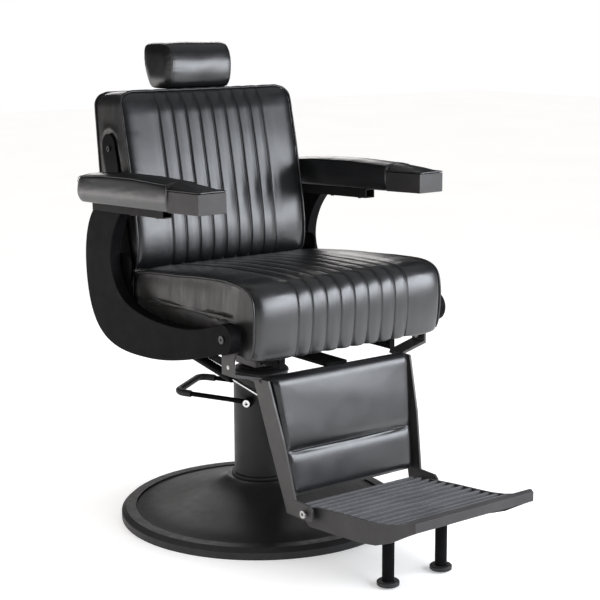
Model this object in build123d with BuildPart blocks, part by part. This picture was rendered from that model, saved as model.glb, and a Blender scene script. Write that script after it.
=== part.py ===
from build123d import *
import math
import os

os.makedirs("parts", exist_ok=True)

# Hydraulic barber chair. Millimetres, +Z up, origin on the swivel axis at the floor,
# the sitter faces -Y, so the sitter's right hand is on the -X side.

# ---- driving dimensions ----
BASE_R = 348.0            # outer radius of the floor rim
BASE_PLATE_R = 318.0      # ballast disc
DOME_TOP_Z = 100.0        # height of the pressed dome
JACKET_R = 67.0           # column jacket outer radius
JACKET_TOP_Z = 362.0
CYL_R, CYL_BORE = 40.0, 29.5
RAM_R = 25.0
LIFT = 150.0              # hydraulic stroke
LEVER_Z = 300.0           # pump lever pivot height
LEVER_DIR = (-0.55, 0.835)  # horizontal direction in which the pump lever points
TUBE_R, SLEEVE_R = 6.0, 8.5
CARM_IN, CARM_OUT = 283.0, 311.0     # inner and outer face of each C-shaped arm frame
PLATE_IN, PLATE_OUT = 276.0, 281.0   # hinge plates that hang beside the arm frames
LINK_IN, LINK_OUT = 269.0, 274.5     # link bars
BAR_IN, BAR_OUT = 250.0, 256.0       # flat side bars of the back
A = (190.0, 600.0)        # back hinge (Y, Z)
B = (-292.0, 530.0)       # leg rest hinge (Y, Z)
V = (22.0, -70.0)         # lever arm from each hinge to its link pin
C = (-423.0, 146.0)       # footplate hinge (Y, Z)
S = (45.0, 425.0)         # gas spring, hinge on the seat frame (Y, Z)
L = (-276.0, 372.0)       # gas spring, end on the leg frame (Y, Z)
GAS_X = -180.0            # plane of the gas spring
SEAT_W = 262.0            # half width of the seat cushion
BACK_W = 248.0            # half width of the back cushion
SEAT_Z = 487.0            # underside of the seat board
ARM_SLOPE = 0.035         # rise of the armrest towards the front

PA = (A[0] + V[0], A[1] + V[1])
PB = (B[0] + V[0], B[1] + V[1])


def save(part, name):
    part.label = name
    export_step(part, f"parts/{name}.step")


# ======================= base and column =======================
with BuildPart() as base_plate:
    with BuildSketch(Plane.XY):
        Circle(BASE_PLATE_R)
    extrude(amount=8)
    with Locations(Plane.XY.offset(8)):
        with PolarLocations(50, 4, start_angle=45):
            Hole(6.5, depth=8)
    chamfer(base_plate.edges().group_by(Axis.Z)[-1].sort_by(SortBy.LENGTH)[-1:], 1)
save(base_plate.part, "base_plate")

# pressed steel dome, a shell of even thickness with a flared foot for the column
with BuildPart() as base_dome:
    with BuildSketch(Plane.XZ):
        with BuildLine():
            outer = Spline(
                (320, 20), (285, 31), (230, 45), (170, 60), (125, 73), (96, 87), (84, 100),
                tangents=[(-1, 0.22), (-0.25, 1)],
            )
            top = Line((84, 100), (62, 100))
            l2 = Line((62, 100), (62, 95))
            l3 = Line((62, 95), (78, 95))
            inner = Spline(
                (78, 95), (91, 82), (122, 68), (168, 55), (229, 40), (284, 26), (320, 14.5),
                tangents=[(0.25, -1), (1, -0.22)],
            )
            l4 = Line((320, 14.5), (320, 20))
        make_face()
    revolve(axis=Axis.Z)
save(base_dome.part, "base_dome")

# rolled rubber rim that clips over the dome's edge and stands on the floor
with BuildPart() as base_rim:
    with BuildSketch(Plane.XZ):
        with BuildLine():
            FilletPolyline(
                (320.2, 0), (BASE_R, 0), (BASE_R, 17), (337, 27), (312, 27.5), (312, 23.2), (320.2, 20.6),
                radius=0.6, close=True,
            )
        make_face()
    revolve(axis=Axis.Z)
save(base_rim.part, "base_rim")

with BuildPart() as column_gasket:
    with BuildSketch(Plane.XY.offset(DOME_TOP_Z)):
        Circle(JACKET_R + 7)
        Circle(JACKET_R - 4, mode=Mode.SUBTRACT)
    extrude(amount=7)
    fillet(column_gasket.edges().group_by(Axis.Z)[-1].sort_by(SortBy.LENGTH)[-1:], 3)
save(column_gasket.part, "column_gasket")

pin_ang = math.degrees(math.atan2(-LEVER_DIR[0], LEVER_DIR[1]))   # angle of the lever's pivot axis
pivot_plane = Plane(
    origin=(0, 0, LEVER_Z),
    x_dir=(0, 0, 1),
    z_dir=(math.cos(math.radians(pin_ang)), math.sin(math.radians(pin_ang)), 0),
)

with BuildPart() as column_jacket:
    with BuildSketch(Plane.XY.offset(DOME_TOP_Z + 7)):
        Circle(JACKET_R)
        Circle(JACKET_R - 3, mode=Mode.SUBTRACT)
    extrude(amount=JACKET_TOP_Z - DOME_TOP_Z - 7)
    with BuildSketch(pivot_plane):
        Circle(8)
    extrude(amount=90, both=True, mode=Mode.SUBTRACT)
save(column_jacket.part, "column_jacket")

# low dome cap with two raised beads, open in the middle for the ram
with BuildPart() as column_cap:
    with BuildSketch(Plane.XZ):
        with BuildLine():
            Polyline((RAM_R + 1.5, 366), (RAM_R + 1.5, 376), (36, 377), (44, 376), (46, 377.2), (50, 376.4),
                     (52, 374.4), (58, 372), (60, 372.8), (64, 370.5), (68.5, 366), (69.5, 362),
                     (JACKET_R - 8, 362), (JACKET_R - 8, 366), (RAM_R + 1.5, 366))
        make_face()
    revolve(axis=Axis.Z)
save(column_cap.part, "column_cap")

with BuildPart() as hydraulic_cylinder:
    with BuildSketch(Plane.XY.offset(8)):
        Circle(60)
    extrude(amount=12)
    with BuildSketch(Plane.XY.offset(20)):
        Circle(CYL_R)
    extrude(amount=320)
    with BuildSketch(Plane.XY.offset(110)):
        Circle(CYL_BORE)
    extrude(amount=230, mode=Mode.SUBTRACT)
    with Locations(Plane.XY.offset(20)):
        with PolarLocations(50, 4, start_angle=45):
            Hole(6.5, depth=12)
save(hydraulic_cylinder.part, "hydraulic_cylinder")

# four socket screws that hold the cylinder's foot to the ballast plate
with BuildPart() as cylinder_bolts:
    with Locations(Plane.XY.offset(1)):
        with PolarLocations(50, 4, start_angle=45):
            Cylinder(6, 19.2, align=(Align.CENTER, Align.CENTER, Align.MIN))
    with Locations(Plane.XY.offset(20.2)):
        with PolarLocations(50, 4, start_angle=45):
            Cylinder(9, 8, align=(Align.CENTER, Align.CENTER, Align.MIN))
save(cylinder_bolts.part, "cylinder_bolts")

# collar with the pump's valves, clamped round the cylinder; it carries the lever's two pivot bolts
with BuildPart() as pump_block:
    with BuildSketch(Plane.XY.offset(272)):
        Circle(61)
        Circle(CYL_R + 0.1, mode=Mode.SUBTRACT)
    extrude(amount=56)
    with BuildSketch(pivot_plane):
        Circle(5)
    extrude(amount=90, both=True, mode=Mode.SUBTRACT)
save(pump_block.part, "pump_block")

with BuildPart() as guide_bush:
    with BuildSketch(Plane.XY.offset(340)):
        Circle(46)
        Circle(RAM_R + 0.06, mode=Mode.SUBTRACT)
    extrude(amount=18)
    with BuildSketch(Plane.XY.offset(330)):
        Circle(CYL_BORE - 0.02)
        Circle(RAM_R + 0.06, mode=Mode.SUBTRACT)
    extrude(amount=10)
save(guide_bush.part, "guide_bush")

# two chrome shoulder bolts on the lever's axis, with a deep socket in each head
with BuildPart() as lever_pivot_bolts:
    for sgn in (1, -1):
        zd = (sgn * math.cos(math.radians(pin_ang)), sgn * math.sin(math.radians(pin_ang)), 0)
        pl = Plane(origin=(0, 0, LEVER_Z), x_dir=(0, 0, 1), z_dir=zd)
        with BuildSketch(pl.offset(44)):
            Circle(4.95)
        extrude(amount=46)
        with BuildSketch(pl.offset(90)):
            Circle(9)
            RegularPolygon(4.6, 6, mode=Mode.SUBTRACT)
        extrude(amount=9)
        with BuildSketch(pl.offset(90)):
            Circle(7)
        extrude(amount=2.5)
save(lever_pivot_bolts.part, "lever_pivot_bolts")

# ======================= pump lever =======================
ex, ey = LEVER_DIR[1], -LEVER_DIR[0]      # unit vector along the pivot axis
ux, uy = LEVER_DIR
EYE = 84.0                                # half distance between the two legs


def lv(s, u, z):
    return (s * ex + u * ux, s * ey + u * uy, z)


def along(p, q, t):
    return tuple(a + (b - a) * t for a, b in zip(p, q))


with BuildPart() as lever_loop:
    with BuildLine() as lever_path:
        FilletPolyline(
            lv(-EYE, 9, LEVER_Z + 1), lv(-EYE, 60, LEVER_Z + 4), lv(-EYE - 3, 188, LEVER_Z + 12),
            lv(EYE - 6, 196, LEVER_Z + 12), lv(EYE, 60, LEVER_Z + 4), lv(EYE, 9, LEVER_Z + 1),
            radius=24,
        )
    with BuildSketch(Plane(origin=lever_path.line @ 0, z_dir=lever_path.line % 0)):
        Circle(TUBE_R)
    sweep()
    for s in (-EYE, EYE):
        pl = Plane(origin=lv(s, 0, LEVER_Z), x_dir=(0, 0, 1), z_dir=(ex, ey, 0))
        with BuildSketch(pl.offset(-5)):
            Circle(12)
        extrude(amount=10)
    with BuildSketch(pivot_plane):
        Circle(5)
    extrude(amount=120, both=True, mode=Mode.SUBTRACT)
save(lever_loop.part, "lever_loop")

# rubber sleeve over the loop's end bar and round both of its corners
with BuildPart() as lever_sleeve:
    with BuildLine() as p2:
        FilletPolyline(
            along(lv(-EYE, 60, LEVER_Z + 4), lv(-EYE - 3, 188, LEVER_Z + 12), 0.7), lv(-EYE - 3, 188, LEVER_Z + 12),
            lv(EYE - 6, 196, LEVER_Z + 12), along(lv(EYE, 60, LEVER_Z + 4), lv(EYE - 6, 196, LEVER_Z + 12), 0.7),
            radius=24,
        )
    with BuildSketch(Plane(origin=p2.line @ 0, z_dir=p2.line % 0)):
        Circle(SLEEVE_R)
        Circle(TUBE_R + 0.25, mode=Mode.SUBTRACT)
    sweep()
save(lever_sleeve.part, "lever_sleeve")

# ======================= piston and ram =======================
with BuildPart() as piston_head:
    with BuildSketch(Plane.XY.offset(112)):
        Circle(CYL_BORE - 0.4)
    extrude(amount=32)
    with BuildSketch(Plane.XY.offset(122)):
        Circle(CYL_BORE + 1)
        Circle(CYL_BORE - 4, mode=Mode.SUBTRACT)
    extrude(amount=8, mode=Mode.SUBTRACT)
    with BuildSketch(Plane.XY.offset(124)):
        Circle(10.05)
    extrude(amount=20, mode=Mode.SUBTRACT)
save(piston_head.part, "piston_head")

with BuildPart() as piston_seal:
    with BuildSketch(Plane.XY.offset(122.2)):
        Circle(CYL_BORE - 0.08)
        Circle(CYL_BORE - 3.9, mode=Mode.SUBTRACT)
    extrude(amount=7.6)
save(piston_seal.part, "piston_seal")

with BuildPart() as ram:
    with BuildSketch(Plane.XY.offset(144.2)):
        Circle(RAM_R)
    extrude(amount=431 - 144.2)
    with BuildSketch(Plane.XY.offset(126)):
        Circle(10)
    extrude(amount=19)
save(ram.part, "ram")

# ======================= seat frame =======================
# square clamp socket on the ram's head, split at the front
with BuildPart() as seat_socket:
    with BuildSketch(Plane.XY.offset(381)):
        RectangleRounded(92, 88, 6)
        Circle(RAM_R + 0.05, mode=Mode.SUBTRACT)
        with Locations((-14, -37)):
            Rectangle(3, 26, mode=Mode.SUBTRACT)
    extrude(amount=50)
    with BuildSketch(Plane.XZ.offset(44)):
        with Locations((-29, 391), (17, 409)):
            Circle(5)
    extrude(amount=-10, mode=Mode.SUBTRACT)
save(seat_socket.part, "seat_socket")

with BuildPart() as frame_screws:
    with BuildSketch(Plane.XZ.offset(39)):
        with Locations((-29, 391), (17, 409)):
            Circle(4.6)
            RegularPolygon(2.4, 6, mode=Mode.SUBTRACT)
    extrude(amount=-5)
    with Locations((80, 130, 427), (-80, 130, 427), (80, -10, 427), (-80, -10, 427)):
        Cylinder(7, 4, align=(Align.CENTER, Align.CENTER, Align.MIN))
save(frame_screws.part, "frame_screws")

# mounting plate with a long tongue that stiffens the front of the seat
with BuildPart() as mount_plate:
    with BuildSketch(Plane.XY.offset(431)):
        with Locations((0, 50)):
            RectangleRounded(200, 200, 8)
        with Locations((0, -170)):
            RectangleRounded(66, 260, 6)
        with Locations((80, 130), (-80, 130), (80, -30), (-80, -30)):
            Circle(4.2, mode=Mode.SUBTRACT)
    extrude(amount=6)
save(mount_plate.part, "mount_plate")

# welded frame of rectangular tube: two beams that carry the arm frames, two rails on top of them
with BuildPart() as seat_frame:
    with BuildSketch(Plane.XY.offset(437)):
        with Locations((0, 0), (0, 125)):
            Rectangle(2 * CARM_IN, 40)
    extrude(amount=30)
    with BuildSketch(Plane.XY.offset(447)):
        with Locations((160, -78.5), (-160, -78.5)):
            Rectangle(14, 459)
    extrude(amount=40)
    with BuildSketch(Plane.XY.offset(467)):
        with Locations((0, -60)):
            Rectangle(306, 40)
    extrude(amount=20)
    with BuildSketch(Plane.YZ.offset(-CARM_IN)):
        with Locations((0, 452), (125, 452)):
            Rectangle(35, 25)
    extrude(amount=2 * CARM_IN, mode=Mode.SUBTRACT)
    # cross hole near the front end of each rail
    with BuildSketch(Plane.YZ.offset(-170)):
        with Locations((-301, 462)):
            Circle(3.5)
    extrude(amount=340, mode=Mode.SUBTRACT)
    # lug for the gas spring
    with BuildSketch(Plane.YZ.offset(-200)):
        with BuildLine():
            Polyline((-18, 437), (18, 437), (40, 437), (57, 430), (57, 418), (45, 413), (32, 415), (-18, 430), (-18, 437))
        make_face()
    extrude(amount=6)
    with BuildSketch(Plane.YZ.offset(-200)):
        with Locations(S):
            Circle(4.05)
    extrude(amount=6, mode=Mode.SUBTRACT)
save(seat_frame.part, "seat_frame")


with BuildPart() as seat_board:
    with BuildSketch(Plane.XY.offset(SEAT_Z)):
        with Locations((0, -85)):
            RectangleRounded(480, 470, 30)
    extrude(amount=12)
save(seat_board.part, "seat_board")

# seat cushion: a plain closed form over the board
with BuildPart() as seat_cushion:
    with BuildSketch(Plane.YZ.offset(-SEAT_W)):
        with BuildLine():
            Polyline((-332, SEAT_Z), (-348, 493), (-357, 512), (-361, 560), (-360, 598), (-352, 622), (-336, 639),
                     (-308, 649), (-270, 652), (-210, 651), (-100, 645), (20, 634), (146, 618), (158, 604),
                     (160, 520), (156, 492), (150, SEAT_Z),
                     (-332, SEAT_Z))
        make_face()
    extrude(amount=2 * SEAT_W)
    with BuildSketch(Plane.XY.offset(SEAT_Z)):
        with Locations((0, -85)):
            RectangleRounded(482, 472, 31)
    extrude(amount=12.5, mode=Mode.SUBTRACT)
save(seat_cushion.part, "seat_cushion")


def tube_bottom(y):
    return 757 + ARM_SLOPE * (256 - y)


def tube_top(y):
    return 779 + ARM_SLOPE * (256 - y)


# C-shaped arm frames and what they carry
outer_pts = [(256, tube_bottom(256)), (284, 712), (298, 645), (295, 584), (279, 522), (247, 475), (204, 448),
             (148, 434), (55, 431), (-37, 438), (-123, 453), (-205, 473), (-284, 497)]
inner_pts = [(-286, 563), (-233, 547), (-164, 532), (-59, 526), (52, 535), (104, 549), (139, 569), (163, 599),
             (177, 650), (164, 705), (122, tube_bottom(122))]
for side, sx in (("right", -1), ("left", 1)):
    x0 = -CARM_OUT if sx < 0 else CARM_IN
    with BuildPart() as c_arm:
        with BuildSketch(Plane.YZ.offset(x0)):
            with BuildLine():
                Spline(*outer_pts)
                ThreePointArc(outer_pts[-1], (-326, 532), inner_pts[0])
                Spline(*inner_pts)
                Line(inner_pts[-1], outer_pts[0])
            make_face()
        extrude(amount=CARM_OUT - CARM_IN)
        # blind bore for the back hinge pin, opening on the inner face, and a through hole for the leg bolt
        with BuildSketch(Plane.YZ.offset(sx * CARM_IN)):
            with Locations(A):
                Circle(6.0)
        extrude(amount=sx * 18, mode=Mode.SUBTRACT)
        with BuildSketch(Plane.YZ.offset(sx * CARM_IN)):
            with Locations(B):
                Circle(6.0)
        extrude(amount=sx * 28, mode=Mode.SUBTRACT)
        side_edges = c_arm.faces().filter_by(Axis.X).sort_by(SortBy.AREA)[-2:].edges()
        side_edges = side_edges.filter_by(lambda e: e.length > 60)
        chamfer(side_edges.filter_by(GeomType.BSPLINE), 1.6)
    save(c_arm.part, f"c_arm_{side}")

    # wedge-shaped metal end block of the armrest
    with BuildPart() as arm_block:
        with BuildSketch(Plane.YZ.offset(-349 if sx < 0 else 277)):
            with BuildLine():
                Polyline((-146, tube_top(-146) + 1), (-268, tube_top(-268) + 2), (-268, 845), (-146, 841),
                         (-146, tube_top(-146) + 1))
            make_face()
        extrude(amount=72)
        chamfer(arm_block.edges().filter_by(Axis.X).group_by(Axis.Y)[0], 0.8)
        chamfer(arm_block.faces().filter_by(Axis.X).edges().filter_by(lambda e: e.length > 60), 0.8)
        with BuildSketch(Plane.XY.offset(780)):
            with Locations((sx * 300, -172), (sx * 322, -172)):
                Circle(2.6)
        extrude(amount=26, mode=Mode.SUBTRACT)
    save(arm_block.part, f"arm_block_{side}")

    with BuildPart() as arm_pad:
        with BuildSketch(Plane.YZ.offset(-351 if sx < 0 else 275)):
            with BuildLine():
                Polyline((-145.6, tube_top(-145.6)), (-145.6, 841.8), (-268, 845.8), (-268, 849), (-225, 856),
                         (-140, 862), (0, 863), (140, 858), (230, 850), (262, 838), (270, 815), (266, 795),
                         (256, 781), (250, tube_top(250)), (-145.6, tube_top(-145.6)))
            make_face()
        extrude(amount=76)
    save(arm_pad.part, f"arm_pad_{side}")

# rectangular tubes under the armrests, open at the front end
with BuildPart() as arm_tubes:
    for x0 in (-CARM_OUT, CARM_IN):
        with BuildSketch(Plane.YZ.offset(x0)):
            with BuildLine():
                Polyline((256, tube_bottom(256)), (256, tube_top(256)), (-60, tube_top(-60)),
                         (-60, tube_bottom(-60)), (256, tube_bottom(256)))
            make_face()
        extrude(amount=CARM_OUT - CARM_IN)
        with BuildSketch(Plane.YZ.offset(x0 + 2.5)):
            with BuildLine():
                Polyline((250, tube_bottom(250) + 2.5), (250, tube_top(250) - 2.5), (-61, tube_top(-61) - 2.5),
                         (-61, tube_bottom(-61) + 2.5), (250, tube_bottom(250) + 2.5))
            make_face()
        extrude(amount=CARM_OUT - CARM_IN - 5, mode=Mode.SUBTRACT)
save(arm_tubes.part, "arm_tubes")

with BuildPart() as arm_screws:
    with Locations((-297, -20, tube_bottom(-20) - 3.25), (-297, 90, tube_bottom(90) - 3.25), (297, -20, tube_bottom(-20) - 3.25),
                   (297, 90, tube_bottom(90) - 3.25)):
        Cylinder(5, 3, align=(Align.CENTER, Align.CENTER, Align.MIN))
    for sx in (-1, 1):
        for bx in (300, 322):
            with Locations((sx * bx, -172, tube_top(-172) - 1.3)):
                Cylinder(4.4, 2.2, align=(Align.CENTER, Align.CENTER, Align.MIN))
save(arm_screws.part, "arm_screws")

# pins on which the back turns, fixed in the arm frames' blind bores
with BuildPart() as back_hinge_pins:
    for sx in (-1, 1):
        with BuildSketch(Plane.YZ.offset(sx * 248.6)):
            with Locations(A):
                Circle(5.95)
        extrude(amount=sx * (300.5 - 248.6))
save(back_hinge_pins.part, "back_hinge_pins")

# shoulder bolts on which the leg rest turns; the socket head shows on the outside of the arm frame
with BuildPart() as leg_hinge_bolts:
    for sx in (-1, 1):
        with BuildSketch(Plane.YZ.offset(sx * 275)):
            with Locations(B):
                Circle(5.95)
        extrude(amount=sx * 36)
        with BuildSketch(Plane.YZ.offset(sx * 311)):
            with Locations(B):
                Circle(9)
                RegularPolygon(3.4, 6, mode=Mode.SUBTRACT)
        extrude(amount=sx * 2.6)
        with BuildSketch(Plane.YZ.offset(sx * 270)):
            with Locations(B):
                Circle(9)
        extrude(amount=sx * 5)
save(leg_hinge_bolts.part, "leg_hinge_bolts")

with BuildPart() as gas_spring_rear_pin:
    with BuildSketch(Plane.YZ.offset(-203)):
        with Locations(S):
            Circle(7)
    extrude(amount=3)
    with BuildSketch(Plane.YZ.offset(-200)):
        with Locations(S):
            Circle(3.98)
    extrude(amount=31)
save(gas_spring_rear_pin.part, "gas_spring_rear_pin")

# ======================= back =======================
bar_top = (267.0, 906.0)
bdx, bdz = bar_top[0] - A[0], bar_top[1] - A[1]
blen = math.hypot(bdx, bdz)
bx, bz = bdx / blen, bdz / blen
for side, sx in (("right", -1), ("left", 1)):
    with BuildPart() as back_frame:
        # flat side bar with rounded ends
        with BuildSketch(Plane.YZ.offset(sx * BAR_IN)):
            with Locations(bar_top):
                Circle(30)
            with Locations(A):
                Circle(26)
            with BuildLine():
                Polyline((A[0] - 26 * bz, A[1] + 26 * bx), (bar_top[0] - 30 * bz, bar_top[1] + 30 * bx),
                         (bar_top[0] + 30 * bz, bar_top[1] - 30 * bx), (A[0] + 26 * bz, A[1] - 26 * bx),
                         (A[0] - 26 * bz, A[1] + 26 * bx))
            make_face()
        extrude(amount=sx * (BAR_OUT - BAR_IN))
        # hub
        with BuildSketch(Plane.YZ.offset(sx * BAR_OUT)):
            with Locations(A):
                Circle(17)
        extrude(amount=sx * (PLATE_OUT - BAR_OUT))
        # short lever to the link bar
        with BuildSketch(Plane.YZ.offset(sx * PLATE_IN)):
            with Locations(A):
                Circle(20)
            with Locations(PA):
                Circle(15)
            vl = math.hypot(*V)
            nx, nz = -V[1] / vl, V[0] / vl
            with BuildLine():
                Polyline((A[0] + 20 * nx, A[1] + 20 * nz), (PA[0] + 15 * nx, PA[1] + 15 * nz),
                         (PA[0] - 15 * nx, PA[1] - 15 * nz), (A[0] - 20 * nx, A[1] - 20 * nz),
                         (A[0] + 20 * nx, A[1] + 20 * nz))
            make_face()
        extrude(amount=sx * (PLATE_OUT - PLATE_IN))
        # wide web of the hinge plate in front of and below the hinge
        with BuildSketch(Plane.YZ.offset(sx * PLATE_IN)):
            with BuildLine():
                Polyline((138, 556), (146, 545), (160, 540), (200, 518), (216, 526), (226, 560), (222, 630), (212, 648),
                         (196, 657), (156, 657), (144, 652), (138, 640), (138, 556))
            make_face()
        extrude(amount=sx * (PLATE_OUT - PLATE_IN))
        with BuildSketch(Plane.YZ.offset(sx * BAR_IN)):
            with Locations(A):
                Circle(6.0)
        extrude(amount=sx * 40, mode=Mode.SUBTRACT)
        with BuildSketch(Plane.YZ.offset(sx * PLATE_IN)):
            with Locations(PA):
                Circle(5.0)
        extrude(amount=sx * 10, mode=Mode.SUBTRACT)
        # two slots near the top for the fixing screws
        with BuildSketch(Plane.YZ.offset(sx * BAR_IN)):
            for t in (0.72, 0.98):
                with Locations((A[0] + bdx * t, A[1] + bdz * t)):
                    Circle(4.1)
        extrude(amount=sx * 10, mode=Mode.SUBTRACT)
    save(back_frame.part, f"back_frame_{side}")

with BuildPart() as rear_link_pins:
    for sx in (-1, 1):
        with BuildSketch(Plane.YZ.offset(sx * 266.4)):
            with Locations(PA):
                Circle(7.5)
        extrude(amount=sx * 2.4)
        with BuildSketch(Plane.YZ.offset(sx * 268.8)):
            with Locations(PA):
                Circle(4.96)
        extrude(amount=sx * (PLATE_OUT - 268.8))
save(rear_link_pins.part, "rear_link_pins")

# rear panel of the back and the cushion in front of it
rear_lo, rear_hi = (304.0, 604.0), (343.0, 1020.0)
rl = math.hypot(rear_hi[0] - rear_lo[0], rear_hi[1] - rear_lo[1])
ty, tz = (rear_hi[0] - rear_lo[0]) / rl, (rear_hi[1] - rear_lo[1]) / rl   # up along the rear face
ny, nz_ = -tz, ty                                                           # from the rear face into the back


def rear(w, h):
    """Point w mm in front of the rear face and h mm up it."""
    return (rear_lo[0] + w * ny + h * ty, rear_lo[1] + w * nz_ + h * tz)


def rear_h(w, z):
    """Height up the rear face at which the line w mm in front of it reaches level z."""
    return (z - rear_lo[1] - w * nz_) / tz


with BuildPart() as back_board:
    with BuildSketch(Plane.YZ.offset(-BACK_W + 8)):
        with BuildLine():
            Polyline(rear(0.5, 6), rear(12, 6), rear(12, rl - 4), rear(0.5, rl - 4), rear(0.5, 6))
        make_face()
    extrude(amount=2 * BACK_W - 16)
save(back_board.part, "back_board")

front_pts = [(174, 606), (158, 616), (146, 632), (140, 660), (146, 738), (168, 851), (194, 960), (206, 1015), (214, 1034),
             (228, 1042)]
with BuildPart() as back_cushion:
    with BuildSketch(Plane.YZ.offset(-BACK_W)):
        with BuildLine():
            Polyline(*front_pts, rear(24, rl + 6), rear(12.6, rl + 2), rear(12.6, 4), (188, 604), front_pts[0])
        make_face()
    extrude(amount=2 * BACK_W)
    # pocket for the headrest socket, open at the top
    with BuildSketch(Plane.YZ.offset(-27)):
        with BuildLine():
            Polyline(rear(12, rl - 196), rear(33.4, rl - 196), rear(33.4, rl + 20), rear(12, rl + 20),
                     rear(12, rl - 196))
        make_face()
    extrude(amount=54, mode=Mode.SUBTRACT)
    # relief behind the hinge bars' hubs
    for sx in (-1, 1):
        with BuildSketch(Plane.YZ.offset(sx * (BACK_W + 1))):
            with Locations(A):
                Circle(30)
        extrude(amount=-sx * 3, mode=Mode.SUBTRACT)
save(back_cushion.part, "back_cushion")

with BuildPart() as back_screws:
    for sx in (-1, 1):
        for t in (0.72, 0.98):
            with BuildSketch(Plane.YZ.offset(sx * BACK_W)):
                with Locations((A[0] + bdx * t, A[1] + bdz * t)):
                    Circle(4.0)
            extrude(amount=sx * (BAR_OUT - BACK_W))
            with BuildSketch(Plane.YZ.offset(sx * BAR_OUT)):
                with Locations((A[0] + bdx * t, A[1] + bdz * t)):
                    Circle(7)
                    RegularPolygon(3, 6, mode=Mode.SUBTRACT)
            extrude(amount=sx * 3)
save(back_screws.part, "back_screws")

with BuildPart() as headrest_socket:
    with BuildSketch(Plane.YZ.offset(-26)):
        with BuildLine():
            Polyline(rear(12.2, rl - 190), rear(32.6, rl - 190), rear(32.6, rl - 2), rear(12.2, rl - 2),
                     rear(12.2, rl - 190))
        make_face()
    extrude(amount=52)
    with BuildSketch(Plane.YZ.offset(-20.08)):
        with BuildLine():
            Polyline(rear(16.92, rl - 194), rear(27.08, rl - 194), rear(27.08, rl + 4), rear(16.92, rl + 4),
                     rear(16.92, rl - 194))
        make_face()
    extrude(amount=40.16, mode=Mode.SUBTRACT)
save(headrest_socket.part, "headrest_socket")

# ======================= headrest =======================
with BuildPart() as headrest_post:
    with BuildSketch(Plane.YZ.offset(-20)):
        with BuildLine():
            Polyline(rear(17, rl - 172), rear(27, rl - 172), rear(27, rear_h(27, 1038.5)), rear(17, rear_h(17, 1038.5)),
                     rear(17, rl - 172))
        make_face()
    extrude(amount=40)
save(headrest_post.part, "headrest_post")

with BuildPart() as headrest_bracket:
    with BuildSketch(Plane.XY.offset(1038.5)):
        with Locations((0, 308)):
            RectangleRounded(110, 66, 8)
    extrude(amount=5)
save(headrest_bracket.part, "headrest_bracket")

with BuildPart() as headrest_pad:
    with BuildSketch(Plane.YZ.offset(-90)):
        with BuildLine():
            Polyline((254, 1043.5), (239, 1053), (231, 1072), (229, 1094), (231, 1114), (238, 1134), (250, 1147),
                     (270, 1152), (345, 1151), (360, 1146), (366, 1136), (367, 1094), (352, 1049), (345, 1043.5),
                     (254, 1043.5))
        make_face()
    extrude(amount=180)
save(headrest_pad.part, "headrest_pad")

# ======================= leg rest =======================
TAPER = math.atan(25.0 / 290.0)     # each side plate leans inwards towards the foot
for side, sx in (("right", -1), ("left", 1)):
    lean = Plane(
        origin=(sx * 209, 0, 427),
        x_dir=(0, 1, 0),
        z_dir=(-sx * math.cos(TAPER), 0, math.sin(TAPER)),
    )
    up = 1 if sx < 0 else -1        # local y of the leaning plane points up on the right side, down on the left
    k = up / math.cos(TAPER)
    plate_pts = [(-262, 427), (-303, 287), (-352, 128), (-432, 129), (-446, 136), (-446, 158), (-436, 166),
                 (-386, 167), (-358, 300), (-319, 427)]
    with BuildPart() as leg_frame:
        # hinge plate beside the arm frame
        with BuildSketch(Plane.YZ.offset(sx * PLATE_IN)):
            with Locations(B):
                Circle(24)
            with BuildLine():
                Polyline((B[0] - 24, B[1]), (-291, 475), (-291, 444), (-246, 444), (-246, 500), (B[0] + 22, B[1] + 9),
                         (B[0] - 24, B[1]))
            make_face()
        extrude(amount=sx * (PLATE_OUT - PLATE_IN))
        with BuildSketch(Plane.YZ.offset(sx * PLATE_IN)):
            with Locations(B):
                Circle(6.0)
            with Locations(PB):
                Circle(5.0)
        extrude(amount=sx * 10, mode=Mode.SUBTRACT)
        # cranked bar towards the middle
        with BuildSketch(Plane.XZ.offset(246)):
            with BuildLine():
                Polyline((sx * 281, 447), (sx * 276, 447), (sx * 206, 428.5), (sx * 203.5, 420), (sx * 209.5, 417),
                         (sx * 213, 424), (sx * 281, 441), (sx * 281, 447))
            make_face()
        extrude(amount=45)
        # leaning side plate with the foot that carries the footplate
        with BuildSketch(lean):
            with BuildLine():
                Polyline(*[(y, (z - 427) * k) for y, z in plate_pts], close=True)
            make_face()
        extrude(amount=5)
        with BuildSketch(Plane.YZ.offset(sx * 150)):
            with Locations(C):
                Circle(5.05)
        extrude(amount=sx * 60, mode=Mode.SUBTRACT)
    save(leg_frame.part, f"leg_frame_{side}")

with BuildPart() as leg_rest_pins:
    for sx in (-1, 1):
        with BuildSketch(Plane.YZ.offset(sx * 266.4)):
            with Locations(PB):
                Circle(8)
        extrude(amount=sx * 2.2)
        with BuildSketch(Plane.YZ.offset(sx * 268.6)):
            with Locations(PB):
                Circle(4.96)
        extrude(amount=sx * (PLATE_OUT - 268.6))
    with BuildSketch(Plane.YZ.offset(-199)):
        with Locations(L):
            Circle(4)
    extrude(amount=28)
save(leg_rest_pins.part, "leg_rest_pins")

# leg pad, its board and the two steel straps that tie the side plates together
lp_top, lp_bot = (-328.0, 438.0), (-376.0, 168.0)
ll = math.hypot(lp_top[0] - lp_bot[0], lp_top[1] - lp_bot[1])
ly, lz = (lp_top[0] - lp_bot[0]) / ll, (lp_top[1] - lp_bot[1]) / ll


def pad_plane(depth):
    """Plane parallel to the leg pad's front face, depth mm behind it, local y up the pad."""
    return Plane(origin=(0, lp_bot[0] + depth * lz, lp_bot[1] - depth * ly), x_dir=(1, 0, 0), z_dir=(0, -lz, ly))


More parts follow.
